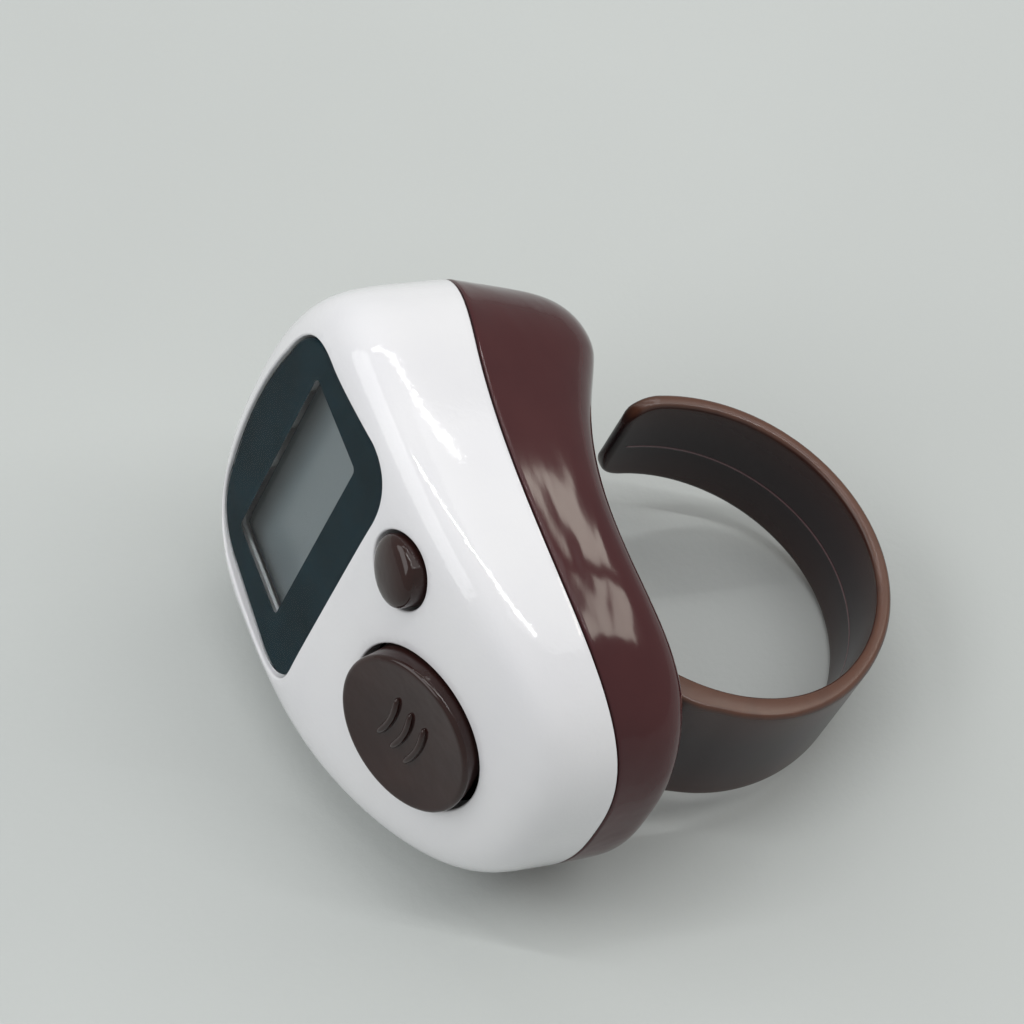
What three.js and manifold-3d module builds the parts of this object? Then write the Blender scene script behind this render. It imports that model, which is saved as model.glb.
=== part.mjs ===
// Digital finger counter: a two-part shell with a display and two buttons, on an open finger band.
// Millimetres. The product is drawn with X from the display end to the count end, Y across,
// and Z out of the face. At the end of the file it is turned to lie on its side, +Z up,
// with the origin at the bottom centre of its box.
import * as THREE from 'three';
import { mergeVertices } from 'three/addons/utils/BufferGeometryUtils.js';
import Module from 'manifold-3d';

const wasm = await Module();
wasm.setup();

// Clearances
const seam = 0.2;
const fit = 0.3;
const smallFit = 0.15;
const buttonFit = 0.2;
const brokenEdge = 0.2;

// Body outline at the parting line
const lcdEndX = -17.3;
const countEndX = 16.7;
const widestX = -8.0;
const halfWidth = 12.95;
const lcdSquareness = 2.5;
const countSquareness = 2.6;

// Front cover: a crown that is flat over the display and slopes down over the count button
const frontWall = 1.4;
const faceZ = 3.35;
const faceSlope = 0.35;
const slopeStartX = 2.6;
const slopeSoftness = 2.9;
const frontSquareness = 6.1;
const frontCrownX = -2.4;

// Parting line, arched towards the face in the middle
const partingZ = -3.95;
const partingTilt = 0.013;
const partingArch = 0.0118;

// Rear cover: deep at the display end, with a saddle for the finger
const rearWall = 1.3;
const rearDepth = 13.75;
const rearDepthSlope = 0.095;
const rearSquareness = 6.8;
const rearCrownX = -0.4;
const rearTaper = 0.06;
const rearTaperSlope = 0.0034;
const saddleX = 2.0;
const saddleZ = -22.5;
const saddleRadius = 10.8;
const saddleBlend = 2.7;
const lipThickness = 0.6;
const lipHeight = 0.5;

// Finger band
const ringX = 1.75;
const ringZ = -20.25;
const ringRadius = 10.4;
const bandWall = 0.95;
const bandRootWall = 2.1;
const bandWidth = 7.4;
const bandRootWidth = 9.4;
const bandTipAngle = -185;
const bandRootAngle = 46;
const bandThickenAngle = 20;
const bandTipRound = 1.8;
const bandEdgeRound = 0.3;
const bandFootThickness = 0.8;
const bandFootOverhang = 1.1;
const bandSocketZ = -9.5;
const bandSocketRim = 1.2;

// Display lens and its seat
const lensTopZ = 2.6;
const lensThickness = 0.9;
const lensInnerX = -0.75;
const lensEndX = -14.3;
const lensSideMargin = 2.5;
const lensEndTaper = 0.8;
const lensInnerCorner = 3.1;
const lensEndCorner = 4.0;
const tapeThickness = 0.2;
const tapeInset = 0.3;
const ledgeThickness = 0.5;
const ledgeOverlap = 1.0;
const windowInnerX = -4.2;
const windowOuterX = -10.6;
const windowSideMargin = 2.95;
const windowMargin = 0.5;

// Liquid crystal display
const glassOuterX = -11.3;
const glassInnerX = -1.9;
const glassOverhang = 1.0;
const glassThickness = 0.6;
const filmThickness = 0.2;
const contactLedge = 2.0;
const zebraWidth = 1.3;
const zebraInset = 0.7;
const holderWall = 0.6;

// Circuit board
const boardTopZ = -4.9;
const boardThickness = 0.7;
const boardInset = 2.7;

// Count button, tilted with the sloping end of the face
const countX = 8.8;
const countTopZ = 1.86;
const countTilt = 21.3;
const countRadius = 4.9;
const countFlangeRadius = 5.5;
const countFlangeTrim = 4.3;
const countFlangeThickness = 0.75;
const countProud = 0.95;
const countDish = 0.25;
const countEdgeRound = 0.55;
const countFootX = 7.1;
const countTopWall = 0.6;
const countSkirt = 1.1;
const countFootHeight = 1.6;
const ribCount = 3;
const ribLength = 3.6;
const ribWidth = 0.5;
const ribPitch = 1.15;
const ribTopZ = 0.05;

// Reset button
const resetX = 2.6;
const resetFromSide = 5.35;
const resetRadius = 2.1;
const resetTopZ = 3.4;
const resetDome = 0.7;
const resetFlangeRadius = 2.7;
const resetFlangeTopZ = -0.35;
const resetFlangeThickness = 0.6;
const resetFlangeTrim = 1.8;

// Key switches under the buttons
const countSwitchSide = 4.5;
const resetSwitchSide = 3.4;
const switchBaseHeight = 1.15;
const switchCoverThickness = 0.2;
const plungerTopZ = -2.45;
const plungerRadius = 1.15;
const plungerFootRadius = 1.45;
const plungerFootThickness = 0.35;
const switchWellDepth = 0.95;

// Battery and its contacts
const batteryX = -7.1;
const batteryRadius = 5.8;
const batteryHeight = 3.05;
const batteryCapRadius = 4.9;
const batteryStep = 0.5;
const contactThickness = 0.15;
const strapWidth = 3.0;
const strapFoot = 1.6;
const springHalfLength = 3.9;
const springHalfWidth = 1.2;

// Screws and the posts that take them
const postRadius = 1.35;
const bossRadius = 1.75;
const postEndZ = -6.2;
const endScrewInset = 3.5;
const endScrewSpread = 3.9;
const endScrewSeat = 3.75;
const sideScrewX = 2.5;
const sideScrewFromSide = 4.95;
const sideScrewSeat = 5.45;
const housingScrewTipZ = -3.4;
const housingShaftRadius = 0.6;
const housingHeadRadius = 1.15;
const housingHeadHeight = 0.8;
const boardPostRadius = 1.2;
const endBoardScrewInset = 3.55;
const sideBoardScrewX = 1.3;
const sideBoardScrewFromSide = 7.95;
const boardShaftRadius = 0.5;
const boardHeadRadius = 1.0;
const boardHeadHeight = 0.5;
const boardScrewLength = 3.2;

// Small components under the board
const chipX = 4.2;
const chipY = -0.8;
const chipRadius = 2.3;
const chipHeight = 0.9;
const chipPartLength = 1.6;
const chipPartWidth = 0.8;
const chipPartX = 0.6;
const capacitorFromSide = 9.55;
const resistorFromSide = 6.75;

// Resting pose: the face leans back until the band's edge meets the table
const restLean = 19.31;
const restDip = 6.1;

// Steps of the curved surfaces
const aroundSteps = 54;
const outerTurns = [0, 5, 12, 21, 31, 41, 51, 61, 70, 79, 86];
const innerTurns = [5, 35, 65, 86];
const flatAngles = [63, 70, 79];
const circleSteps = 36;
const smallCircleSteps = 20;

const radians = THREE.MathUtils.degToRad;

const materials = {
  shellWhite: new THREE.MeshStandardMaterial({ color: 0xe6e6e9, roughness: 0.22 }),
  shellBrown: new THREE.MeshStandardMaterial({ color: 0x4a2e2f, roughness: 0.2 }),
  buttonBrown: new THREE.MeshStandardMaterial({ color: 0x3b2626, roughness: 0.3 }),
  bandBrown: new THREE.MeshStandardMaterial({ color: 0x4a302c, roughness: 0.42 }),
  lensDark: new THREE.MeshStandardMaterial({ color: 0x1c2a30, roughness: 0.08 }),
  glass: new THREE.MeshStandardMaterial({ color: 0x7e8a8a, roughness: 0.1 }),
  film: new THREE.MeshStandardMaterial({ color: 0x8c928c, roughness: 0.4 }),
  tape: new THREE.MeshStandardMaterial({ color: 0x26282a, roughness: 0.8 }),
  moulding: new THREE.MeshStandardMaterial({ color: 0x2b2c2e, roughness: 0.5 }),
  zebra: new THREE.MeshStandardMaterial({ color: 0xc7b8b0, roughness: 0.7 }),
  board: new THREE.MeshStandardMaterial({ color: 0x2e6b3f, roughness: 0.5 }),
  resin: new THREE.MeshStandardMaterial({ color: 0x141416, roughness: 0.35 }),
  ceramic: new THREE.MeshStandardMaterial({ color: 0xb59a72, roughness: 0.6 }),
  steel: new THREE.MeshStandardMaterial({ color: 0xc4c6c8, roughness: 0.3, metalness: 1 }),
  gasket: new THREE.MeshStandardMaterial({ color: 0xdad7cc, roughness: 0.6 }),
};

// Solids

// Turns a closed surface round if its faces point in, and drops all but its positions.
function closed(geometry) {
  const bare = geometry.clone();
  bare.deleteAttribute('normal');
  bare.deleteAttribute('uv');
  const solid = mergeVertices(bare, 1e-5);
  const position = solid.getAttribute('position');
  const index = solid.getIndex();
  const [a, b, c] = [new THREE.Vector3(), new THREE.Vector3(), new THREE.Vector3()];
  let volume = 0;
  for (let i = 0; i < index.count; i += 3) {
    a.fromBufferAttribute(position, index.getX(i));
    b.fromBufferAttribute(position, index.getX(i + 1));
    c.fromBufferAttribute(position, index.getX(i + 2));
    volume += a.dot(b.cross(c));
  }
  if (volume < 0) {
    for (let i = 0; i < index.count; i += 3) {
      const first = index.getX(i);
      index.setX(i, index.getX(i + 1));
      index.setX(i + 1, first);
    }
  }
  return solid;
}

function toManifold(geometry) {
  const solid = closed(geometry);
  const vertProperties = new Float32Array(solid.getAttribute('position').array);
  const triVerts = new Uint32Array(solid.getIndex().array);
  return new wasm.Manifold(new wasm.Mesh({ numProp: 3, vertProperties, triVerts }));
}

function toGeometry(manifold) {
  const mesh = manifold.getMesh();
  const geometry = new THREE.BufferGeometry();
  const positions = new Float32Array(mesh.vertProperties);
  geometry.setAttribute('position', new THREE.BufferAttribute(positions, 3));
  geometry.setIndex(new THREE.BufferAttribute(new Uint32Array(mesh.triVerts), 1));
  return geometry;
}

function join(first, ...others) {
  const sum = others.reduce((solid, other) => solid.add(toManifold(other)), toManifold(first));
  return toGeometry(sum);
}

function cut(first, ...others) {
  const rest = others.reduce((solid, other) => solid.subtract(toManifold(other)), toManifold(first));
  return toGeometry(rest);
}

function common(first, second) {
  return toGeometry(toManifold(first).intersect(toManifold(second)));
}

// Joins rings of equal length, each an array of points, into one closed surface.
function skin(rings) {
  const count = rings[0].length;
  const positions = rings.flat().flatMap((point) => [point.x, point.y, point.z]);
  const indices = [];
  for (let r = 0; r < rings.length - 1; r += 1) {
    for (let i = 0; i < count; i += 1) {
      const next = (i + 1) % count;
      const [p, q] = [r * count + i, r * count + next];
      indices.push(p, q, p + count, q, q + count, p + count);
    }
  }
  for (const r of [0, rings.length - 1]) {
    const centre = new THREE.Vector3();
    rings[r].forEach((point) => centre.add(point));
    centre.divideScalar(count);
    const middle = positions.length / 3;
    positions.push(centre.x, centre.y, centre.z);
    for (let i = 0; i < count; i += 1) {
      const [p, q] = [r * count + i, r * count + ((i + 1) % count)];
      indices.push(...(r === 0 ? [q, p, middle] : [p, q, middle]));
    }
  }
  const geometry = new THREE.BufferGeometry();
  geometry.setAttribute('position', new THREE.Float32BufferAttribute(positions, 3));
  geometry.setIndex(indices);
  return closed(geometry);
}

function block(x0, x1, y0, y1, z0, z1) {
  const box = new THREE.BoxGeometry(x1 - x0, y1 - y0, z1 - z0);
  return box.translate((x0 + x1) / 2, (y0 + y1) / 2, (z0 + z1) / 2);
}

function rod(radius, z0, z1, x = 0, y = 0, steps = smallCircleSteps) {
  const cylinder = new THREE.CylinderGeometry(radius, radius, z1 - z0, steps);
  return cylinder.rotateX(Math.PI / 2).translate(x, y, (z0 + z1) / 2);
}

// Revolves a profile of [radius, z] points that starts and ends on the axis.
function revolve(profile, steps = smallCircleSteps) {
  const points = profile.map(([radius, z]) => new THREE.Vector2(radius, z));
  return closed(new THREE.LatheGeometry(points, steps).rotateX(Math.PI / 2));
}

function prism(shape, z0, z1, curveSegments = 8) {
  const settings = { depth: z1 - z0, bevelEnabled: false, curveSegments };
  return new THREE.ExtrudeGeometry(shape, settings).translate(0, 0, z0);
}

function rectangle(x0, x1, y0, y1) {
  const corners = [[x0, y0], [x1, y0], [x1, y1], [x0, y1]];
  return new THREE.Shape(corners.map(([x, y]) => new THREE.Vector2(x, y)));
}

// Points on a rounded corner between two edges, as [across, up] from the corner's centre.
function quarter(centreU, centreV, radius, startAngle, steps = 3) {
  const points = [];
  for (let i = 0; i <= steps; i += 1) {
    const angle = startAngle + (i / steps) * (Math.PI / 2);
    points.push([centreU + radius * Math.cos(angle), centreV + radius * Math.sin(angle)]);
  }
  return points;
}

// Body surfaces

// How far a superellipse of unit size reaches in the direction of a cosine and sine.
function superReach(cosine, sine, squareness) {
  return (Math.abs(cosine) ** squareness + Math.abs(sine) ** squareness) ** (-1 / squareness);
}

// Two half superellipses that meet at the widest station.
function outlinePoint(angle, inset) {
  const [cosine, sine] = [Math.cos(angle), Math.sin(angle)];
  const reach = superReach(cosine, sine, cosine < 0 ? lcdSquareness : countSquareness);
  const length = cosine < 0 ? widestX - lcdEndX - inset : countEndX - widestX - inset;
  return new THREE.Vector2(widestX + length * reach * cosine, (halfWidth - inset) * reach * sine);
}

function outline(inset) {
  return Array.from({ length: aroundSteps }, (_, i) => outlinePoint((i / aroundSteps) * 2 * Math.PI, inset));
}

function outlineShape(inset) {
  return new THREE.Shape(outline(inset));
}

function partingAt(x) {
  return partingZ - partingTilt * x - partingArch * x * x;
}

function faceAt(x) {
  const ease = Math.log(1 + Math.exp((x - slopeStartX) / slopeSoftness));
  return faceZ - faceSlope * slopeSoftness * ease;
}

function backAt(x, inset) {
  const plain = -(rearDepth - rearDepthSlope * x) + inset;
  const square = (saddleRadius + inset) ** 2 - (x - saddleX) ** 2;
  const saddle = square > 0 ? saddleZ + Math.sqrt(square) : 2 * saddleZ;
  const gap = Math.abs(plain - saddle) / saddleBlend;
  return Math.max(plain, saddle) + saddleBlend * Math.log(1 + Math.exp(-gap));
}

// One ring of the front crown: angle 0 is the parting line and 90 the top.
function frontRing(angle, inset, lift = 0) {
  const [cosine, sine] = [Math.cos(radians(angle)), Math.sin(radians(angle))];
  const reach = superReach(cosine, sine, frontSquareness);
  return outline(inset).map((rim) => {
    const x = frontCrownX + (rim.x - frontCrownX) * reach * cosine;
    const base = partingAt(rim.x) + lift;
    const z = base + (faceAt(x) - inset - base) * reach * sine;
    return new THREE.Vector3(x, rim.y * reach * cosine, z);
  });
}

// One ring of the rear bowl: angle 0 is the parting line and 90 the bottom.
function rearRing(angle, inset, lift = 0) {
  const [cosine, sine] = [Math.cos(radians(angle)), Math.sin(radians(angle))];
  const reach = superReach(cosine, sine, rearSquareness);
  return outline(inset).map((rim) => {
    const taper = 1 - (rearTaper - rearTaperSlope * rim.x) * reach * sine;
    const x = rearCrownX + (rim.x - rearCrownX) * reach * cosine * taper;
    const base = partingAt(rim.x) + lift;
    const z = base + (backAt(x, inset) - base) * reach * sine;
    return new THREE.Vector3(x, rim.y * reach * cosine * taper, z);
  });
}

function levelRing(inset, lift) {
  return outline(inset).map((rim) => new THREE.Vector3(rim.x, rim.y, partingAt(rim.x) + lift));
}

// Section angles that turn the surface evenly round a crown's corner, then cross its flat top.
function crownAngles(turns, squareness) {
  const corner = turns.map((turn) => {
    return THREE.MathUtils.radToDeg(Math.atan(Math.tan(radians(turn)) ** (1 / (squareness - 1))));
  });
  return [...corner, ...flatAngles];
}

// Places that several pieces share

const lensHalfWidth = halfWidth - lensSideMargin;
const lensEndHalfWidth = lensHalfWidth - lensEndTaper;
const windowHalfLength = lensHalfWidth - windowSideMargin;
const glassHalfLength = windowHalfLength + glassOverhang;
const zebraHalfLength = glassHalfLength - zebraInset;
const lensBottomZ = lensTopZ - lensThickness;
const tapeTopZ = lensBottomZ - smallFit;
const ledgeTopZ = tapeTopZ - tapeThickness - smallFit;
const ledgeBottomZ = ledgeTopZ - ledgeThickness;
const frontFilmTopZ = ledgeBottomZ - smallFit;
const frontGlassTopZ = frontFilmTopZ - filmThickness - smallFit;
const rearGlassTopZ = frontGlassTopZ - glassThickness - smallFit;
const rearFilmTopZ = rearGlassTopZ - glassThickness - smallFit;
const rearGlassInnerX = glassInnerX - contactLedge;
const boardBottomZ = boardTopZ - boardThickness;
const switchBaseTopZ = boardTopZ + smallFit + switchBaseHeight;
const switchCoverBottomZ = switchBaseTopZ + smallFit;
const holeRadius = { count: countRadius + buttonFit, reset: resetRadius + buttonFit };
const countFlangeTop = -(countProud + frontWall + fit + smallFit);
const bossTopZ = postEndZ - fit;
const footBottomZ = bandSocketZ + fit;
const resetY = halfWidth - resetFromSide;
const endScrewX = lcdEndX + endScrewInset;
const sideScrewY = sideScrewFromSide - halfWidth;
const housingScrews = [
  { x: endScrewX, y: endScrewSpread, seatZ: endScrewSeat - rearDepth },
  { x: endScrewX, y: -endScrewSpread, seatZ: endScrewSeat - rearDepth },
  { x: sideScrewX, y: sideScrewY, seatZ: sideScrewSeat - rearDepth },
];
const boardScrews = [
  { x: lcdEndX + endBoardScrewInset, y: 0 },
  { x: sideBoardScrewX, y: sideBoardScrewFromSide - halfWidth },
];

// The lens is straight towards the buttons, narrows a little, and ends in a shallow bow.
function lensShape(grow) {
  const innerX = lensInnerX + grow;
  const half = lensHalfWidth + grow;
  const endHalf = lensEndHalfWidth + grow;
  const endX = lensEndX - grow;
  const cornerX = endX + (lensEndCorner - lensInnerCorner);
  const innerCorner = lensInnerCorner + grow;
  const endCorner = lensEndCorner + grow;
  const bowX = 2 * endX - cornerX;
  const shape = new THREE.Shape();
  shape.moveTo(innerX, half - innerCorner);
  shape.quadraticCurveTo(innerX, half, innerX - innerCorner, half);
  shape.lineTo(cornerX + endCorner, endHalf + (half - endHalf) / 4);
  shape.quadraticCurveTo(cornerX, endHalf, cornerX - (cornerX - bowX) / 4, endHalf - endCorner);
  shape.quadraticCurveTo(bowX, 0, cornerX - (cornerX - bowX) / 4, endCorner - endHalf);
  shape.quadraticCurveTo(cornerX, -endHalf, cornerX + endCorner, -endHalf - (half - endHalf) / 4);
  shape.lineTo(innerX - innerCorner, -half);
  shape.quadraticCurveTo(innerX, -half, innerX, innerCorner - half);
  return shape;
}

// Moves a piece drawn with its axis on Z to the count button's sloping axis.
function onCountAxis(geometry) {
  return geometry.rotateY(radians(countTilt)).translate(countX, 0, countTopZ);
}

// Covers

// The body's inside up to the middle of the wall, which ribs and posts are trimmed to.
function frontFill() {
  return skin(crownAngles(outerTurns, frontSquareness).map((angle) => frontRing(angle, frontWall / 2)));
}

function rearFill() {
  return skin(crownAngles(outerTurns, rearSquareness).map((angle) => rearRing(angle, rearWall / 2, -seam)));
}

function frontCover() {
  const shell = skin([
    ...crownAngles(outerTurns, frontSquareness).reverse().map((angle) => frontRing(angle, 0)),
    ...crownAngles([0, ...innerTurns], frontSquareness).map((angle) => frontRing(angle, frontWall)),
  ]);
  const ledge = prism(lensShape(ledgeOverlap), ledgeBottomZ, ledgeTopZ + ledgeOverlap);
  const posts = [
    ...housingScrews.map(({ x, y }) => rod(postRadius, postEndZ, ledgeTopZ, x, y)),
    ...boardScrews.map(({ x, y }) => rod(boardPostRadius, boardTopZ + smallFit, ledgeTopZ, x, y)),
  ];
  const pilots = [
    ...housingScrews.map(({ x, y }) => {
      return rod(housingShaftRadius + smallFit, postEndZ - 1, housingScrewTipZ + fit, x, y);
    }),
    ...boardScrews.map(({ x, y }) => {
      return rod(boardShaftRadius + smallFit, boardTopZ - 1, boardTopZ + boardScrewLength, x, y);
    }),
  ];
  const solid = join(shell, common(frontFill(), join(ledge, ...posts)));
  const window = block(
    windowOuterX - windowMargin, windowInnerX + windowMargin,
    -windowHalfLength - windowMargin, windowHalfLength + windowMargin,
    ledgeBottomZ - 1, ledgeTopZ + 1,
  );
  return cut(
    solid,
    prism(lensShape(smallFit), ledgeTopZ, faceZ + 1),
    window,
    onCountAxis(rod(holeRadius.count, countFlangeTop - 1, 3, 0, 0, circleSteps)),
    rod(holeRadius.reset, resetFlangeTopZ - 1, faceZ + 1, resetX, resetY),
    ...pilots,
  );
}

// The slot that the band's stem passes through, in the rear cover's count end.
function bandSlot() {
  const root = bandSection(bandRootAngle);
  const half = bandRootWidth / 2 + fit;
  return block(
    root.x - fit, root.x + bandRootWall + fit, -half, half, root.z - 2 * bandRootWall, bandSocketZ + 1,
  );
}

function bandSocket() {
  const root = bandSection(bandRootAngle);
  const half = bandRootWidth / 2 + bandSocketRim;
  return block(
    root.x - bandSocketRim, root.x + bandRootWall + bandSocketRim, -half, half, 2 * bandSocketZ, bandSocketZ,
  );
}

function rearCover() {
  const outer = crownAngles(outerTurns, rearSquareness).reverse().map((angle) => rearRing(angle, 0, -seam));
  const lipOuter = frontWall + fit;
  const lipInner = lipOuter + lipThickness;
  const bowl = skin([
    ...outer,
    levelRing(lipOuter, -seam),
    levelRing(lipOuter, lipHeight),
    levelRing(lipInner, lipHeight),
    levelRing(lipInner, -seam),
    ...crownAngles(innerTurns, rearSquareness).map((angle) => rearRing(angle, rearWall, -seam)),
  ]);
  const bosses = housingScrews.map(({ x, y }) => rod(bossRadius, 2 * bandSocketZ, bossTopZ, x, y));
  const solid = join(bowl, common(rearFill(), join(bandSocket(), ...bosses)));
  const holes = housingScrews.flatMap(({ x, y, seatZ }) => [
    rod(housingShaftRadius + smallFit, seatZ - 1, bossTopZ + 1, x, y),
    rod(housingHeadRadius + smallFit, 2 * bandSocketZ, seatZ, x, y),
    rod(postRadius + fit, bossTopZ, partingZ + 1, x, y),
  ]);
  return cut(solid, bandSlot(), ...holes);
}

// Finger band

function bandThicknessAt(angle) {
  const start = THREE.MathUtils.smoothstep(angle, -bandRootAngle, bandThickenAngle);
  const end = THREE.MathUtils.smoothstep(angle, bandThickenAngle, bandRootAngle);
  const step = (bandRootWall - bandWall) / 2;
  return bandWall + step * start + step * end;
}

function bandWidthAt(angle) {
  const spread = THREE.MathUtils.smoothstep(angle, -bandRootAngle, bandRootAngle);
  const width = bandWidth + (bandRootWidth - bandWidth) * spread;
  const fromTip = radians(angle - bandTipAngle) * ringRadius;
  if (fromTip >= bandTipRound) return width;
  const drop = bandTipRound - Math.sqrt(bandTipRound ** 2 - (bandTipRound - fromTip) ** 2);
  return width - 2 * drop;
}

// Where the band's section starts on the finger's side, and which way its thickness points.
function bandSection(angle) {
  const turn = THREE.MathUtils.smoothstep(angle, bandThickenAngle, bandRootAngle);
  return {
    x: ringX + ringRadius * Math.cos(radians(angle)),
    z: ringZ + ringRadius * Math.sin(radians(angle)),
    facing: radians(angle <= bandThickenAngle ? angle : bandThickenAngle * (1 - turn)),
  };
}

// A rounded rectangle across the band, as one ring.
function bandRing({ x, z, facing }, thickness, width) {
  const round = Math.min(bandEdgeRound, thickness / 3);
  const half = width / 2 - round;
  const outer = thickness - round;
  const corners = [
    ...quarter(outer, half, round, 0, 2),
    ...quarter(round, half, round, Math.PI / 2, 2),
    ...quarter(round, -half, round, Math.PI, 2),
    ...quarter(outer, -half, round, 1.5 * Math.PI, 2),
  ];
  return corners.map(([out, across]) => {
    return new THREE.Vector3(x + out * Math.cos(facing), across, z + out * Math.sin(facing));
  });
}

function bandAngles() {
  const tip = [0.03, 0.14, 0.33, 0.61].map((share) => {
    return bandTipAngle + (share * bandTipRound) / radians(ringRadius);
  });
  const start = bandTipAngle + bandTipRound / radians(ringRadius);
  const steps = 38;
  const rest = Array.from({ length: steps + 1 }, (_, i) => {
    return start + ((bandRootAngle - start) * i) / steps;
  });
  return [...tip, ...rest];
}

function fingerBand() {
  const root = bandSection(bandRootAngle);
  const stemTop = { ...root, z: footBottomZ + bandFootThickness / 2 };
  const hoop = skin([
    ...bandAngles().map((angle) => bandRing(bandSection(angle), bandThicknessAt(angle), bandWidthAt(angle))),
    bandRing(stemTop, bandRootWall, bandRootWidth),
  ]);
  const half = bandRootWidth / 2 + bandFootOverhang;
  const foot = block(
    root.x - bandFootOverhang, root.x + bandRootWall + bandFootOverhang, -half, half,
    footBottomZ, footBottomZ + bandFootThickness,
  );
  return join(hoop, foot);
}

// Display stack

function displayLens() {
  return prism(lensShape(0), lensBottomZ, lensTopZ);
}

function lensTape() {
  const opening = rectangle(
    windowOuterX - windowMargin, windowInnerX + windowMargin,
    -windowHalfLength - windowMargin, windowHalfLength + windowMargin,
  );
  const shape = lensShape(-tapeInset);
  shape.holes.push(opening);
  return prism(shape, tapeTopZ - tapeThickness, tapeTopZ);
}

function glassPlate(innerX, topZ, thickness) {
  return block(glassOuterX, innerX, -glassHalfLength, glassHalfLength, topZ - thickness, topZ);
}

function zebraStrip() {
  const x = (glassInnerX + rearGlassInnerX + smallFit) / 2;
  return block(
    x - zebraWidth / 2, x + zebraWidth / 2, -zebraHalfLength, zebraHalfLength,
    boardTopZ + fit, frontGlassTopZ - glassThickness - fit,
  );
}

function lcdHolder() {
  const inner = [glassOuterX - fit, glassInnerX + fit, -glassHalfLength - fit, glassHalfLength + fit];
  const [x0, x1, y0, y1] = inner;
  const shape = rectangle(x0 - holderWall, x1 + holderWall, y0 - holderWall, y1 + holderWall);
  shape.holes.push(rectangle(x0, x1, y0, y1));
  const frame = prism(shape, boardTopZ + smallFit, frontFilmTopZ);
  return common(frame, prism(outlineShape(boardInset), 2 * boardTopZ, 1));
}

// Circuit board and what is soldered to it

function circuitBoard() {
  const posts = [
    ...housingScrews.map(({ x, y }) => rod(postRadius + fit, boardBottomZ - 1, boardTopZ + 1, x, y)),
    ...boardScrews.map(({ x, y }) => {
      return rod(boardShaftRadius + smallFit, boardBottomZ - 1, boardTopZ + 1, x, y);
    }),
  ];
  return cut(prism(outlineShape(boardInset), boardBottomZ, boardTopZ), ...posts);
}

function chipResin() {
  const z = boardBottomZ - smallFit;
  const profile = [[0, z], [chipRadius, z], [chipRadius * 0.92, z - chipHeight * 0.45]];
  profile.push([chipRadius * 0.6, z - chipHeight * 0.85], [0, z - chipHeight]);
  return revolve(profile).translate(chipX, chipY, 0);
}

function chipPart(x, y) {
  const top = boardBottomZ - smallFit;
  const [length, width] = [chipPartLength / 2, chipPartWidth / 2];
  return block(x - width, x + width, y - length, y + length, top - chipPartWidth, top);
}

function switchBase(side, x, y) {
  const z0 = boardTopZ + smallFit;
  const body = block(x - side / 2, x + side / 2, y - side / 2, y + side / 2, z0, switchBaseTopZ);
  const well = rod(plungerFootRadius + smallFit, switchBaseTopZ - switchWellDepth, switchBaseTopZ + 1, x, y);
  return cut(body, well);
}

// A pressed plate over the base, with two legs folded down its sides.
function switchCover(side, x, y) {
  const reach = side / 2 + smallFit;
  const legBottom = switchBaseTopZ - switchBaseHeight / 2;
  const top = switchCoverBottomZ + switchCoverThickness;
  const plate = block(
    x - side / 2, x + side / 2, y - reach - switchCoverThickness, y + reach + switchCoverThickness,
    switchCoverBottomZ, top,
  );
  const leg = (y0, y1) => block(x - side / 4, x + side / 4, y0, y1, legBottom, switchCoverBottomZ + smallFit);
  return cut(
    join(
      plate,
      leg(y + reach, y + reach + switchCoverThickness),
      leg(y - reach - switchCoverThickness, y - reach),
    ),
    rod(plungerRadius + smallFit, switchCoverBottomZ - 1, top + 1, x, y),
  );
}

function switchPlunger(x, y) {
  const footTop = switchBaseTopZ;
  const footBottom = footTop - plungerFootThickness;
  const profile = [
    [0, footBottom], [plungerFootRadius, footBottom], [plungerFootRadius, footTop],
    [plungerRadius, footTop], [plungerRadius, plungerTopZ - brokenEdge],
    [plungerRadius - brokenEdge, plungerTopZ], [0, plungerTopZ],
  ];
  return revolve(profile).translate(x, y, 0);
}

// Buttons

// Grip ribs across the dish of the count button, each bowed to follow the rim.
function countRibs() {
  const bow = countRadius;
  const reach = ribLength / 2 / bow;
  return Array.from({ length: ribCount }, (_, i) => {
    const x = (i - (ribCount - 1) / 2) * ribPitch;
    const shape = new THREE.Shape();
    shape.absarc(x - bow, 0, bow + ribWidth / 2, -reach, reach);
    shape.absarc(x - bow, 0, bow - ribWidth / 2, reach, -reach, true);
    return prism(shape, -2 * countDish, ribTopZ, 5);
  });
}

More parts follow.
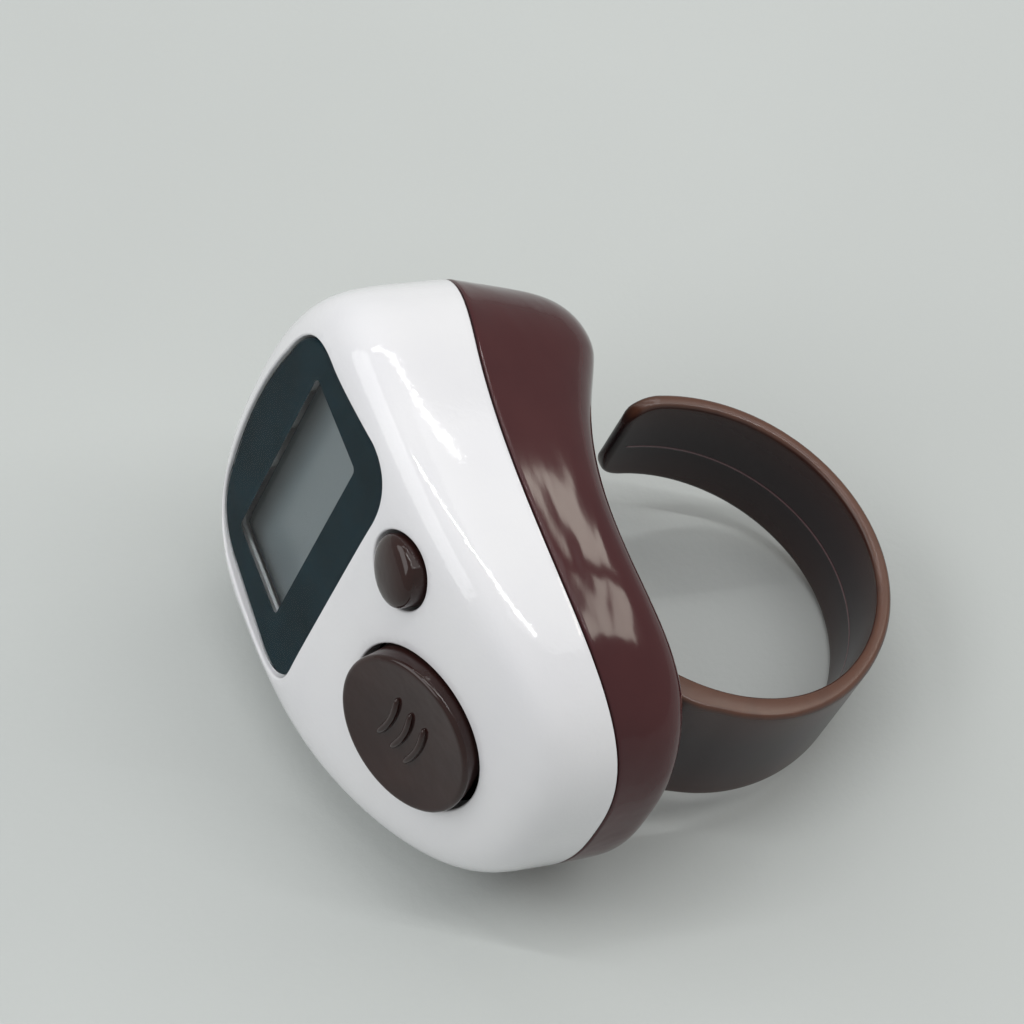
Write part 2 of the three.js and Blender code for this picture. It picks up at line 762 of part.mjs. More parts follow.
function countButton() {
  const flangeBottom = countFlangeTop - countFlangeThickness;
  const hollowTop = -countProud - countTopWall;
  const rim = quarter(countRadius - countEdgeRound, -countEdgeRound, countEdgeRound, 0);
  const hollow = countRadius - countSkirt;
  const core = plungerRadius + countTopWall;
  const profile = [
    [0, flangeBottom], [core, flangeBottom], [core, hollowTop],
    [hollow, hollowTop], [hollow, flangeBottom], [countFlangeRadius, flangeBottom],
    [countFlangeRadius, countFlangeTop], [countRadius, countFlangeTop],
    ...rim,
    [countRadius * 0.72, -countDish * 0.5], [countRadius * 0.5, -countDish * 0.8],
    [countRadius * 0.25, -countDish * 0.96], [0, -countDish],
  ];
  const cap = revolve(profile, circleSteps);
  const far = 2 * countRadius;
  const trimTop = countFlangeTop + smallFit;
  const tilted = onCountAxis(cut(
    join(cap, ...countRibs()),
    block(countFlangeTrim, far, -far, far, 2 * flangeBottom, trimTop),
    block(-far, -countFlangeTrim, -far, far, 2 * flangeBottom, trimTop),
  ));
  const foot = rod(plungerRadius, plungerTopZ + fit, countTopZ - countProud - countFootHeight, countFootX, 0);
  const below = block(
    lcdEndX, countEndX, -halfWidth, halfWidth, 2 * boardTopZ, plungerTopZ + fit,
  );
  const clear = common(below, rod(plungerRadius + 2 * fit, 2 * boardTopZ, plungerTopZ + fit, countFootX, 0));
  return cut(join(tilted, foot), clear);
}

function resetButton() {
  const flangeBottom = resetFlangeTopZ - resetFlangeThickness;
  const profile = [
    [0, plungerTopZ + fit], [plungerRadius, plungerTopZ + fit], [plungerRadius, flangeBottom],
    [resetFlangeRadius, flangeBottom], [resetFlangeRadius, resetFlangeTopZ],
    [resetRadius, resetFlangeTopZ], [resetRadius, resetTopZ - resetDome],
    [resetRadius * 0.94, resetTopZ - resetDome * 0.62], [resetRadius * 0.78, resetTopZ - resetDome * 0.32],
    [resetRadius * 0.5, resetTopZ - resetDome * 0.1], [0, resetTopZ],
  ];
  const cap = revolve(profile);
  const trim = block(
    -2 * resetRadius, 2 * resetRadius, resetFlangeTrim, 2 * resetRadius,
    flangeBottom - 1, resetFlangeTopZ + smallFit,
  );
  return cut(cap, trim).translate(resetX, resetY, 0);
}

// Battery

const batteryTopZ = boardBottomZ - 2 * smallFit - contactThickness;
const batteryBottomZ = batteryTopZ - batteryHeight;

function batteryCan() {
  const shoulder = batteryTopZ - batteryStep;
  const bottom = batteryBottomZ;
  const innerRadius = batteryCapRadius + 3 * smallFit;
  const floor = shoulder - batteryStep;
  const profile = [
    [0, bottom], [batteryRadius - brokenEdge, bottom], [batteryRadius, bottom + brokenEdge],
    [batteryRadius, shoulder], [innerRadius, shoulder], [innerRadius, floor], [0, floor],
  ];
  return revolve(profile, circleSteps).translate(batteryX, 0, 0);
}

function batteryGasket() {
  const outerRadius = batteryCapRadius + 2 * smallFit;
  const innerRadius = batteryCapRadius + smallFit;
  const bottom = batteryTopZ - 2 * batteryStep + smallFit;
  const top = batteryTopZ - batteryStep + smallFit;
  const profile = [
    [innerRadius, bottom], [outerRadius, bottom], [outerRadius, top], [innerRadius, top],
    [innerRadius, bottom],
  ];
  return revolve(profile, circleSteps).translate(batteryX, 0, 0);
}

function batteryCap() {
  const bottom = batteryTopZ - 2 * batteryStep + smallFit;
  const profile = [
    [0, bottom], [batteryCapRadius, bottom], [batteryCapRadius, batteryTopZ - brokenEdge],
    [batteryCapRadius - brokenEdge, batteryTopZ], [0, batteryTopZ],
  ];
  return revolve(profile, circleSteps).translate(batteryX, 0, 0);
}

// A bridge strap, soldered to the board on both sides of the battery and passing under it.
function batteryStrap() {
  const top = boardBottomZ - smallFit;
  const side = batteryRadius + fit;
  const under = batteryBottomZ - fit;
  const t = contactThickness;
  const path = [
    [-side - strapFoot, top], [-side, top], [-side, under], [side, under], [side, top],
    [side + strapFoot, top], [side + strapFoot, top - t], [side + t, top - t], [side + t, under - t],
    [-side - t, under - t], [-side - t, top - t], [-side - strapFoot, top - t],
  ];
  const shape = new THREE.Shape(path.map(([y, z]) => new THREE.Vector2(y, z)));
  const strip = prism(shape, -strapWidth / 2, strapWidth / 2);
  return strip.rotateX(Math.PI / 2).rotateZ(Math.PI / 2).translate(batteryX, 0, 0);
}

function batterySpring() {
  const z = boardBottomZ - smallFit;
  const [x0, x1] = [batteryX - springHalfLength, batteryX + springHalfLength];
  return block(x0, x1, -springHalfWidth, springHalfWidth, z - contactThickness, z);
}

// Screws

function screw(shaftRadius, headRadius, headHeight, headTopZ, tipZ) {
  const profile = [
    [0, headTopZ - headHeight], [headRadius - brokenEdge, headTopZ - headHeight],
    [headRadius, headTopZ - headHeight + brokenEdge], [headRadius, headTopZ], [shaftRadius, headTopZ],
    [shaftRadius, tipZ - shaftRadius], [0, tipZ],
  ];
  return revolve(profile);
}

function housingScrew({ x, y, seatZ }) {
  const top = seatZ - smallFit;
  const solid = screw(housingShaftRadius, housingHeadRadius, housingHeadHeight, top, housingScrewTipZ);
  return solid.translate(x, y, 0);
}

function boardScrew({ x, y }) {
  const top = boardBottomZ - smallFit;
  const tip = boardTopZ + boardScrewLength - fit;
  return screw(boardShaftRadius, boardHeadRadius, boardHeadHeight, top, tip).translate(x, y, 0);
}

// Assembly

const counter = new THREE.Group();

function add(name, geometry, material) {
  const mesh = new THREE.Mesh(geometry, material);
  mesh.name = name;
  counter.add(mesh);
}

add('front_cover', frontCover(), materials.shellWhite);
add('rear_cover', rearCover(), materials.shellBrown);
add('finger_band', fingerBand(), materials.bandBrown);
add('display_lens', displayLens(), materials.lensDark);
add('lens_tape', lensTape(), materials.tape);
add('lcd_front_film', glassPlate(rearGlassInnerX, frontFilmTopZ, filmThickness), materials.film);
add('lcd_front_glass', glassPlate(glassInnerX, frontGlassTopZ, glassThickness), materials.glass);
add('lcd_rear_glass', glassPlate(rearGlassInnerX, rearGlassTopZ, glassThickness), materials.glass);
add('lcd_rear_film', glassPlate(rearGlassInnerX, rearFilmTopZ, filmThickness), materials.film);
add('lcd_holder', lcdHolder(), materials.moulding);
add('zebra_strip', zebraStrip(), materials.zebra);
add('circuit_board', circuitBoard(), materials.board);
add('chip_resin', chipResin(), materials.resin);
add('capacitor', chipPart(chipPartX, halfWidth - capacitorFromSide), materials.ceramic);
add('resistor', chipPart(chipPartX, halfWidth - resistorFromSide), materials.resin);
add('count_button', countButton(), materials.buttonBrown);
add('count_switch_base', switchBase(countSwitchSide, countFootX, 0), materials.moulding);
add('count_switch_cover', switchCover(countSwitchSide, countFootX, 0), materials.steel);
add('count_switch_plunger', switchPlunger(countFootX, 0), materials.moulding);
add('reset_button', resetButton(), materials.buttonBrown);
add('reset_switch_base', switchBase(resetSwitchSide, resetX, resetY), materials.moulding);
add('reset_switch_cover', switchCover(resetSwitchSide, resetX, resetY), materials.steel);
add('reset_switch_plunger', switchPlunger(resetX, resetY), materials.moulding);
add('battery_can', batteryCan(), materials.steel);
add('battery_gasket', batteryGasket(), materials.gasket);
add('battery_cap', batteryCap(), materials.steel);
add('battery_strap', batteryStrap(), materials.steel);
add('battery_spring', batterySpring(), materials.steel);
housingScrews.forEach((place, i) => add(`housing_screw_${i + 1}`, housingScrew(place), materials.steel));
boardScrews.forEach((place, i) => add(`board_screw_${i + 1}`, boardScrew(place), materials.steel));

// Laid down as it rests, with the origin at the bottom centre of its box
counter.rotation.set(Math.PI / 2 - radians(restLean), 0, -radians(restDip));
const part = new THREE.Group();
part.add(counter);
part.updateMatrixWorld(true);
const bounds = new THREE.Box3().setFromObject(part, true);
const middle = bounds.getCenter(new THREE.Vector3());
counter.position.set(-middle.x, -middle.y, -bounds.min.z);

export default part;
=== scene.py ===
import bmesh
import bpy
import numpy as np
from mathutils import Matrix, Vector
from mathutils.geometry import delaunay_2d_cdt


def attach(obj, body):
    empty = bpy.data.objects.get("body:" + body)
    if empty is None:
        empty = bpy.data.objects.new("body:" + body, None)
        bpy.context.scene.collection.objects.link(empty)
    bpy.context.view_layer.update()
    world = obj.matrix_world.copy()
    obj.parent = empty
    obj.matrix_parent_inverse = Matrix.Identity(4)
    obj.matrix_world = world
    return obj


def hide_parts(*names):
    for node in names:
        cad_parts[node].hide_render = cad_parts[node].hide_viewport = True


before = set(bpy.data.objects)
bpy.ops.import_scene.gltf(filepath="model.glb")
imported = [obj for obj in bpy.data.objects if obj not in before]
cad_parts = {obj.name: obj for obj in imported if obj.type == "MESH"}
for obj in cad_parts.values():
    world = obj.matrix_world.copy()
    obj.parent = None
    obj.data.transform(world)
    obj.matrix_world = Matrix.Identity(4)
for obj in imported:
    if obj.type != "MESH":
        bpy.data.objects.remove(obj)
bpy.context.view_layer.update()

# A digital finger counter on a pale table: gloss white and brown covers, a display under a
# flat lens, two buttons, and an open finger band. Metres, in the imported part's frame.

# Table, light and camera
# The counter is drawn in millimetres with X towards the count button, Y across and Z out
# of the face. It lies on its flank and the edge of its band, so its axes are turned here.

MM = 0.001
LEAN, DIP = np.radians(19.31), np.radians(6.1)
PLACE = np.array([0.34744, -12.42797, 14.15805])


def turn_x(angle):
    """Rotation about X, columns (1, 0, 0), (0, cos, sin), (0, -sin, cos)."""
    c, s = np.cos(angle), np.sin(angle)
    return np.array([[1, 0, 0], [0, c, -s], [0, s, c]])


def turn_z(angle):
    """Rotation about Z, columns (cos, sin, 0), (-sin, cos, 0), (0, 0, 1)."""
    c, s = np.cos(angle), np.sin(angle)
    return np.array([[c, -s, 0], [s, c, 0], [0, 0, 1]])


LAID = turn_x(np.pi / 2 - LEAN) @ turn_z(-DIP)


def laid(points):
    """Points of the drawing in mm to metres in the frame: turned by LAID, moved by PLACE."""
    return (np.asarray(points, float) @ LAID.T + PLACE) * MM


def srgb(code):
    """A hex colour as linear RGBA: value / 12.92 up to 0.04045, and above it
    ((value + 0.055) / 1.055) ** 2.4."""
    value = np.array([int(code[i:i + 2], 16) for i in (1, 3, 5)]) / 255
    linear = np.where(value <= 0.04045, value / 12.92, ((value + 0.055) / 1.055) ** 2.4)
    return (*linear, 1.0)


def put(tree, kind, settings=None, **links):
    """Adds a node, sets the sockets or attributes in settings, and links sockets by name."""
    node = tree.nodes.new("ShaderNode" + kind)
    for key, value in (settings or {}).items():
        if key in node.inputs:
            node.inputs[key].default_value = value
        else:
            setattr(node, key, value)
    for key, source in links.items():
        tree.links.new(source, node.inputs[key.replace("_", " ")])
    return node


def finish_of(name, colour, roughness, **more):
    """A material with one shader: its node tree, the shader and the piece's own coordinates."""
    material = bpy.data.materials.new(name)
    material.use_nodes = True
    tree = material.node_tree
    tree.nodes.clear()
    settings = {"Base Color": srgb(colour), "Roughness": roughness}
    settings.update({key.replace("_", " "): value for key, value in more.items()})
    shader = put(tree, "BsdfPrincipled", settings)
    put(tree, "OutputMaterial", None, Surface=shader.outputs["BSDF"])
    return material, tree, shader, put(tree, "TexCoord").outputs["Object"]


def toned(tree, shader, share, low, high, start=0.0, end=1.0):
    """Lets the colour run from one tone to the other as the share runs from start to end."""
    ramp = put(tree, "ValToRGB", None, Fac=share)
    for mark, where, tone in zip(ramp.color_ramp.elements, (start, end), (low, high)):
        mark.position, mark.color = where, srgb(tone)
    tree.links.new(ramp.outputs["Color"], shader.inputs["Base Color"])


def clouded(tree, shader, place, size, low, high):
    """Lets the colour drift between two tones over patches of a size in mm."""
    noise = put(tree, "TexNoise", {"Scale": 1 / (size * MM), "Detail": 3.0}, Vector=place)
    toned(tree, shader, noise.outputs["Fac"], low, high, 0.35, 0.65)


def uneven(tree, shader, place, layers):
    """Bumps the surface: each layer is a patch size and a height in mm, over the one before."""
    below = None
    for size, height in layers:
        noise = put(tree, "TexNoise", {"Scale": 1 / (size * MM), "Detail": 2.0}, Vector=place)
        settings = {"Strength": 1.0, "Distance": height * MM}
        bump = put(tree, "Bump", settings, Height=noise.outputs["Fac"])
        if below:
            tree.links.new(below, bump.inputs["Normal"])
        below = bump.outputs["Normal"]
    tree.links.new(below, shader.inputs["Normal"])


# A sheet of pale grey-green card: matt, with a faint tooth.
card, tree, shader, place = finish_of("pale_card", "#BABEBC", 0.8)
clouded(tree, shader, place, 60.0, "#B8BCBA", "#BCC0BE")
uneven(tree, shader, place, [(0.5, 0.02)])

TABLE_REACH = 600.0
corners = np.array([(-1, -1, 0), (1, -1, 0), (1, 1, 0), (-1, 1, 0)]) * TABLE_REACH * MM
sheet = bpy.data.meshes.new("table")
sheet.from_pydata(corners, [], [(0, 1, 2, 3)])
table = bpy.data.objects.new("table", sheet)
table.data.materials.append(card)
bpy.context.scene.collection.objects.link(table)

# Soft studio light: two slim tubes overhead, two low windows and a broad, dim panel behind the
# counter and another in front, under an even sky. Each is aimed at the counter, and along is
# the direction of its long side.
for name, place, along, length, width, power, colour in (
    ("tube_left", (-0.315, 0.207, 0.60), (0.245, 0.969, 0.0), 0.66, 0.008, 0.66, (1.0, 1.0, 1.0)),
    ("tube_right", (0.056, 0.12, 0.60), (0.584, 0.812, 0.0), 0.80, 0.011, 1.35, (1.0, 1.0, 1.0)),
    ("window_left", (-0.09, 0.55, 0.32), (0.98, 0.16, 0.12), 0.15, 0.05, 0.16, (1.0, 0.95, 0.84)),
    ("window_right", (0.13, 0.53, 0.34), (0.97, -0.24, 0.06), 0.20, 0.06, 0.23, (1.0, 0.95, 0.84)),
    ("panel_back", (0.04, 0.47, 0.64), (1.0, -0.08, 0.0), 0.70, 0.50, 1.15, (1.0, 1.0, 1.0)),
    ("panel_front", (-0.14, -0.54, 0.52), (0.97, -0.25, 0.0), 0.80, 0.50, 2.8, (1.0, 1.0, 1.0)),
):
    lamp = bpy.data.lights.new(name, "AREA")
    lamp.shape, lamp.size, lamp.size_y = "RECTANGLE", length, width
    lamp.energy, lamp.color = power, colour
    back, along = Vector(place).normalized(), Vector(along).normalized()
    up = back.cross(along).normalized()
    axes = Matrix([up.cross(back), up, back]).transposed().to_4x4()
    holder = bpy.data.objects.new(name, lamp)
    holder.matrix_world = Matrix.Translation(place) @ axes
    bpy.context.scene.collection.objects.link(holder)

# The sky lights the table evenly. The camera, gloss and glass see the pale backdrop instead.
world = bpy.data.worlds.new("sky")
world.use_nodes = True
bpy.context.scene.world = world
tree = world.node_tree
tree.nodes.clear()
sky = put(tree, "Background", {"Color": (1.0, 1.0, 1.0, 1), "Strength": 0.35})
back = put(tree, "Background", {"Color": srgb("#C3C8C5"), "Strength": 0.8})
path = put(tree, "LightPath")
mirrored = put(tree, "Math", {"operation": "MAXIMUM"})
tree.links.new(path.outputs["Is Glossy Ray"], mirrored.inputs[0])
tree.links.new(path.outputs["Is Transmission Ray"], mirrored.inputs[1])
seen = put(tree, "Math", {"operation": "MAXIMUM"})
tree.links.new(path.outputs["Is Camera Ray"], seen.inputs[0])
tree.links.new(mirrored.outputs[0], seen.inputs[1])
pick = put(tree, "MixShader")
tree.links.new(seen.outputs[0], pick.inputs[0])
tree.links.new(sky.outputs["Background"], pick.inputs[1])
tree.links.new(back.outputs["Background"], pick.inputs[2])
put(tree, "OutputWorld", None, Surface=pick.outputs["Shader"])

# The camera of the photograph: a long lens from above, on the count button's side. Its right
# and down and its place are in the drawing's axes.
FRAME_PX, FOCAL_PX, SENSOR = 1024, 4029, 36.0
CAMERA_AT = (102.389, 179.033, 102.721)
right = np.array([0.348985, 0.343152, -0.872041])
down = np.array([0.821282, -0.560159, 0.108247])
right /= np.linalg.norm(right)
down -= right * (right @ down)
down /= np.linalg.norm(down)
turned = LAID @ np.array([right, -down, -np.cross(right, down)]).T
spot = laid(CAMERA_AT)
camera = bpy.data.cameras.new("camera")
camera.lens, camera.sensor_width = SENSOR * FOCAL_PX / FRAME_PX, SENSOR
camera.clip_start = 0.01
eye = bpy.data.objects.new("camera", camera)
eye.matrix_world = Matrix([[*turned[i], spot[i]] for i in range(3)] + [[0, 0, 0, 1]])
bpy.context.scene.collection.objects.link(eye)
bpy.context.scene.camera = eye
bpy.context.scene.view_settings.view_transform = "Standard"


# Front cover
# The upper half of the housing, moulded in gloss white ABS with a 1.4 mm wall: a crown that is
# flat over the display and slopes down over the count button. The lens seat, two button holes
# and the screw posts are moulded in, and every outer edge is softened by the mould.

LCD_END, COUNT_END, WIDEST, HALF_WIDTH = -17.29, 16.68, -8.0, 12.94
LCD_SQUARE, COUNT_SQUARE = 2.5, 2.6
FACE_TOP, FACE_SLOPE, BEND_X, BEND_SOFT = 3.35, 0.35, 2.6, 2.9
WALL = 1.4
SOFT = 0.14  # the radius of the softened edges
CROWN_X = -2.4  # the point that the face draws in towards


def reach(c, s, squareness):
    """How far a unit superellipse reaches along (c, s): (|c|^n + |s|^n) ** (-1 / n)."""
    return (np.abs(c) ** squareness + np.abs(s) ** squareness) ** (-1 / squareness)


def outline(angle, inset=0.0):
    """The body seen from the face: two half superellipses that meet at the widest station."""
    c, s = np.cos(angle), np.sin(angle)
    far = np.where(c < 0, reach(c, s, LCD_SQUARE), reach(c, s, COUNT_SQUARE))
    length = np.where(c < 0, WIDEST - LCD_END - inset, COUNT_END - WIDEST - inset)
    return WIDEST + length * far * c, (HALF_WIDTH - inset) * far * s


def parting(x):
    """The seam's height: a parabola that arches towards the face in the middle."""
    return -3.95 - 0.013 * x - 0.0118 * x * x


def face_height(x):
    """Flat over the display, then a softened bend into the slope: the slope times the bend's
    softness times log(1 + e ^ (distance past the bend / softness))."""
    return FACE_TOP - FACE_SLOPE * BEND_SOFT * np.log1p(np.exp((x - BEND_X) / BEND_SOFT))


def quadrant(squareness, across, tall):
    """A quarter superellipse as a table: distance from its foot, share across, share up."""
    angle = np.linspace(0, np.pi / 2, 8001)
    far = reach(np.cos(angle), np.sin(angle), squareness)
    share, up = far * np.cos(angle), far * np.sin(angle)
    steps = np.hypot(np.diff(share * across), np.diff(up * tall))
    return np.concatenate([[0], np.cumsum(steps)]), share, up


# The crown's section: its squareness, and the width and height that its distances are for.
CROWN = quadrant(6.1, 14.0, 7.5)


def crown(angle, along, inset=0.0):
    """Front cover: at a distance up the section, the outline is drawn in to the share across
    and lifted from the seam towards the face by the share up."""
    ox, oy = outline(angle, inset)
    share, up = (np.interp(along, CROWN[0], column) for column in CROWN[1:])
    x = CROWN_X + (ox - CROWN_X) * share
    base = parting(ox)
    z = base + (face_height(x) - inset - base) * up
    return np.stack(np.broadcast_arrays(x, oy * share, z), -1)


def on_crown(x, y, inset=0.0):
    """The outline angle and distance at which crown() passes over (x, y)."""
    turn = np.linspace(-np.pi, np.pi, 4001)
    ox, oy = outline(turn, inset)
    angle = np.interp(np.arctan2(y, x - CROWN_X), np.unwrap(np.arctan2(oy, ox - CROWN_X)), turn)
    ox, oy = outline(angle, inset)
    share = np.hypot(x - CROWN_X, y) / np.hypot(ox - CROWN_X, oy)
    return angle, np.interp(-share, -CROWN[1], CROWN[0])


def over(x, y, inset=0.0):
    """The crown's point straight above (x, y)."""
    return crown(*on_crown(x, y, inset), inset)


def circle(count):
    """Evenly spaced angles round a circle."""
    return np.arange(count) * 2 * np.pi / count


def inside(points, loop):
    """True for points inside a closed loop: a ray to the right crosses it an odd number of
    times."""
    (x, y), (ax, ay), (bx, by) = points.T[:, :, None], loop.T, np.roll(loop, -1, 0).T
    crosses = (ay > y) != (by > y)
    with np.errstate(divide="ignore", invalid="ignore"):
        where = ax + (y - ay) * (bx - ax) / (by - ay)
    return (crosses & (x < where)).sum(1) % 2 == 1


def net(edge, rim_count, holes, pitch):
    """A flat disc of radius edge: rings of points a pitch apart, with loops cut out, joined by
    constrained Delaunay triangles. The rim comes first in the points, then each loop."""
    loops = [edge * np.stack([np.cos(circle(rim_count)), np.sin(circle(rim_count))], 1), *holes]
    field = []
    for k, radius in enumerate(np.arange(edge - pitch, pitch / 2, -pitch)):
        angle = circle(max(6, round(2 * np.pi * radius / pitch))) + (k % 2) * pitch / radius / 2
        field.append(radius * np.stack([np.cos(angle), np.sin(angle)], 1))
    field = np.concatenate(field)
    for hole in holes:
        near = np.sqrt(((field[:, None] - hole[None]) ** 2).sum(2)).min(1)
        field = field[(near > 0.6 * pitch) & ~inside(field, hole)]
    points = np.concatenate([*loops, field])
    edges, start = [], 0
    for loop in loops:
        edges += [(start + i, start + (i + 1) % len(loop)) for i in range(len(loop))]
        start += len(loop)
    made = delaunay_2d_cdt([Vector(p) for p in points], edges, [], 0, 1e-9)
    source = np.array([olds[0] for olds in made[3]])
    faces = source[np.array([f for f in made[2] if len(f) == 3])]
    centres = points[faces].mean(1)
    for hole in holes:
        kept = ~inside(centres, hole)
        faces, centres = faces[kept], centres[kept]
    return points, faces


def sheet_over(loops, inset, edge, rim, pitch):
    """A patch of the crown at an inset, with holes whose edges are the given loops in mm. The
    net is flat, with the distance from the pole as radius, and crown() bends it over."""
    total = CROWN[0][-1]
    flat = []
    for loop in loops:
        angle, along = on_crown(loop[:, 0], loop[:, 1], inset)
        flat.append((total - along)[:, None] * np.stack([np.cos(angle), np.sin(angle)], 1))
    points, faces = net(total - edge, len(rim), flat, pitch)
    solid = crown(np.arctan2(points[:, 1], points[:, 0]), total - np.hypot(*points.T), inset)
    known = np.concatenate([rim, *loops])
    solid[:len(known)] = known
    return solid, faces


def strip(loops, closed_ends=False):
    """Quads that join each closed loop of points to the next. A flat face can close each end."""
    count = len(loops[0])
    here, ahead = np.arange(count), (np.arange(count) + 1) % count
    row = np.stack([here, ahead, ahead + count, here + count], 1)
    quads = np.concatenate([row + k * count for k in range(len(loops) - 1)])
    points, faces = np.concatenate(loops), [list(map(int, quad)) for quad in quads]
    if closed_ends:
        faces += [list(range(count))[::-1], [k + (len(loops) - 1) * count for k in range(count)]]
    return points, faces


def solid_of(name, parts, crease=32.0):
    """One object from parts, each points in mm and faces: what meets is welded, all faces turn
    outwards, and edges sharper than the crease stay sharp."""
    points, faces, start = [], [], 0
    for part_points, part_faces in parts:
        points.append(part_points)
        faces += [[start + int(i) for i in face] for face in part_faces]
        start += len(part_points)
    mesh = bpy.data.meshes.new(name)
    mesh.from_pydata(laid(np.concatenate(points)), [], faces)
    work = bmesh.new()
    work.from_mesh(mesh)
    bmesh.ops.remove_doubles(work, verts=work.verts, dist=0.0005 * MM)
    bmesh.ops.recalc_face_normals(work, faces=work.faces)
    work.to_mesh(mesh)
    work.free()
    mesh.shade_smooth()
    mesh.set_sharp_from_angle(angle=np.radians(crease))
    made = bpy.data.objects.new(name, mesh)
    bpy.context.scene.collection.objects.link(made)
    return made


def flat_kept(piece):
    """Weighs each shading normal by face area, so a flat face stays flat beside a soft edge."""
    change = piece.modifiers.new("flat_kept", "WEIGHTED_NORMAL")
    change.mode, change.keep_sharp = "FACE_AREA", True


def fitted(piece, material, body, slot, *nodes):
    """Gives a piece its material and its body, and hides the nodes that it stands for. Its slot is
    not used.
    """
    piece.data.materials.clear()
    piece.data.materials.append(material)
    flat_kept(piece)
    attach(piece, body)
    if nodes:
        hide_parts(*nodes)


def resampled(points, count):
    """A closed loop of points at even steps along the given one."""
    ring = np.concatenate([points, points[:1]])
    far = np.concatenate([[0], np.cumsum(np.hypot(*np.diff(ring, axis=0).T))])
    steps = np.linspace(0, far[-1], count, endpoint=False)
    return np.stack([np.interp(steps, far, ring[:, 0]), np.interp(steps, far, ring[:, 1])], 1)


LENS_TOP, LENS_THICK = 2.6, 0.9
LENS_GAP = 0.15
LEDGE_TOP, LEDGE_FOOT, LEDGE_UPRIGHT = 1.2, 0.9, 0.22
LENS_COUNT = 360


def lens_loop(grow, count=LENS_COUNT):
    """The lens: straight towards the buttons, a little narrower at the far end, which is bowed.
    Its corners and its bow are quadratic curves, and grow moves the edge outwards."""
    inner, half, end_half, end = -0.75 + grow, 10.45 + grow, 9.65 + grow, -14.3 - grow
    corner, end_corner = 3.1 + grow, 4.0 + grow
    shoulder, bow = end + 0.9, end - 0.9
    blend = shoulder - (shoulder - bow) / 4
    slant = end_half + (half - end_half) / 4
    curves = [
        ((inner, half - corner), (inner, half), (inner - corner, half)),
        ((shoulder + end_corner, slant), (shoulder, end_half), (blend, end_half - end_corner)),
        ((blend, end_half - end_corner), (bow, 0), (blend, end_corner - end_half)),
        ((blend, end_corner - end_half), (shoulder, -end_half), (shoulder + end_corner, -slant)),
        ((inner - corner, -half), (inner, -half), (inner, corner - half)),
    ]
    t = np.linspace(0, 1, 40)[:, None]
    runs = [
        (1 - t) ** 2 * np.array(a) + 2 * t * (1 - t) * np.array(b) + t ** 2 * np.array(c)
        for a, b, c in curves
    ]
    return resampled(np.concatenate(runs), count)


def window_loop(like, box, corner=0.5):
    """A rectangle with round corners, with a point in the same direction as each of like's. The
    box is X from and to, then Y from and to."""
    x0, x1, y0, y1 = box
    centre = np.array([(x0 + x1) / 2, (y0 + y1) / 2])
    quarter = np.linspace(0, np.pi / 2, 30)
    runs = [
        np.stack([cx + corner * np.cos(quarter + turn), cy + corner * np.sin(quarter + turn)], 1)
        for cx, cy, turn in (
            (x1 - corner, y1 - corner, 0), (x0 + corner, y1 - corner, np.pi / 2),
            (x0 + corner, y0 + corner, np.pi), (x1 - corner, y0 + corner, 1.5 * np.pi),
        )
    ]
    ring = resampled(np.concatenate(runs), 4000) - centre
    order = np.argsort(np.arctan2(ring[:, 1], ring[:, 0]))
    heading, far = np.arctan2(ring[order, 1], ring[order, 0]), np.hypot(*ring[order].T)
    wanted = np.arctan2(like[:, 1] - centre[1], like[:, 0] - centre[0])
    far = np.interp(wanted, heading, far, period=2 * np.pi)
    return centre + far[:, None] * np.stack([np.cos(wanted), np.sin(wanted)], 1)


def at_height(loop, z):
    """A flat loop lifted to a height."""
    return np.concatenate([loop[:, :2], np.broadcast_to(np.reshape(z, (-1, 1)), (len(loop), 1))], 1)


ROUNDING = np.radians([22.5, 45, 67.5, 90])

# The lens seat, from the softened edge of the face down to the ledge and through the window.
seat_edge = lens_loop(LENS_GAP + SOFT)
seat_edge = over(seat_edge[:, 0], seat_edge[:, 1])
seat = [seat_edge]
for turn in ROUNDING:
    loop = lens_loop(LENS_GAP + SOFT * (1 - np.sin(turn)))
    seat.append(at_height(loop, seat_edge[:, 2] - SOFT * (1 - np.cos(turn))))
seat.append(at_height(lens_loop(LENS_GAP), LEDGE_TOP))
opening = window_loop(seat[-1], (-12.1, -3.7, -9.05, 8.0))
below = window_loop(seat[-1], (-12.5, -3.2, -9.45, 8.5))
# The cover's inner face takes over under the ledge, within 0.93 of the way out to its wall.
under = lens_loop(1.0)
angle, along = on_crown(under[:, 0], under[:, 1], WALL)
under = crown(angle, np.maximum(along, np.interp(-0.93, -CROWN[1], CROWN[0])), WALL)
seat += [at_height(opening, LEDGE_TOP), at_height(opening, LEDGE_TOP - LEDGE_UPRIGHT)]
seat += [at_height(below, LEDGE_FOOT), at_height(under, LEDGE_FOOT), under]

COUNT_TILT = np.radians(21.3)
COUNT_AXIS = np.array([np.sin(COUNT_TILT), 0, np.cos(COUNT_TILT)])
COUNT_AT = np.array([8.8, 0, 1.86])
RESET_AT = np.array([2.6, 7.6, 3.4])
COUNT_HOLE, RESET_HOLE = 5.1, 2.3


def bore(centre, axis, radius, count, inset=0.0):
    """Where a cylinder meets the crown: each point of its rim slides along the axis on to it."""
    side = np.array([axis[2], 0, -axis[0]])
    ring = np.outer(np.cos(circle(count)), side) + np.outer(np.sin(circle(count)), (0, 1, 0))
    points = centre + radius * ring
    for _ in range(30):
        lift = over(points[:, 0], points[:, 1], inset)[:, 2] - points[:, 2]
        points = points + lift[:, None] * axis[2] * axis
    return points, ring


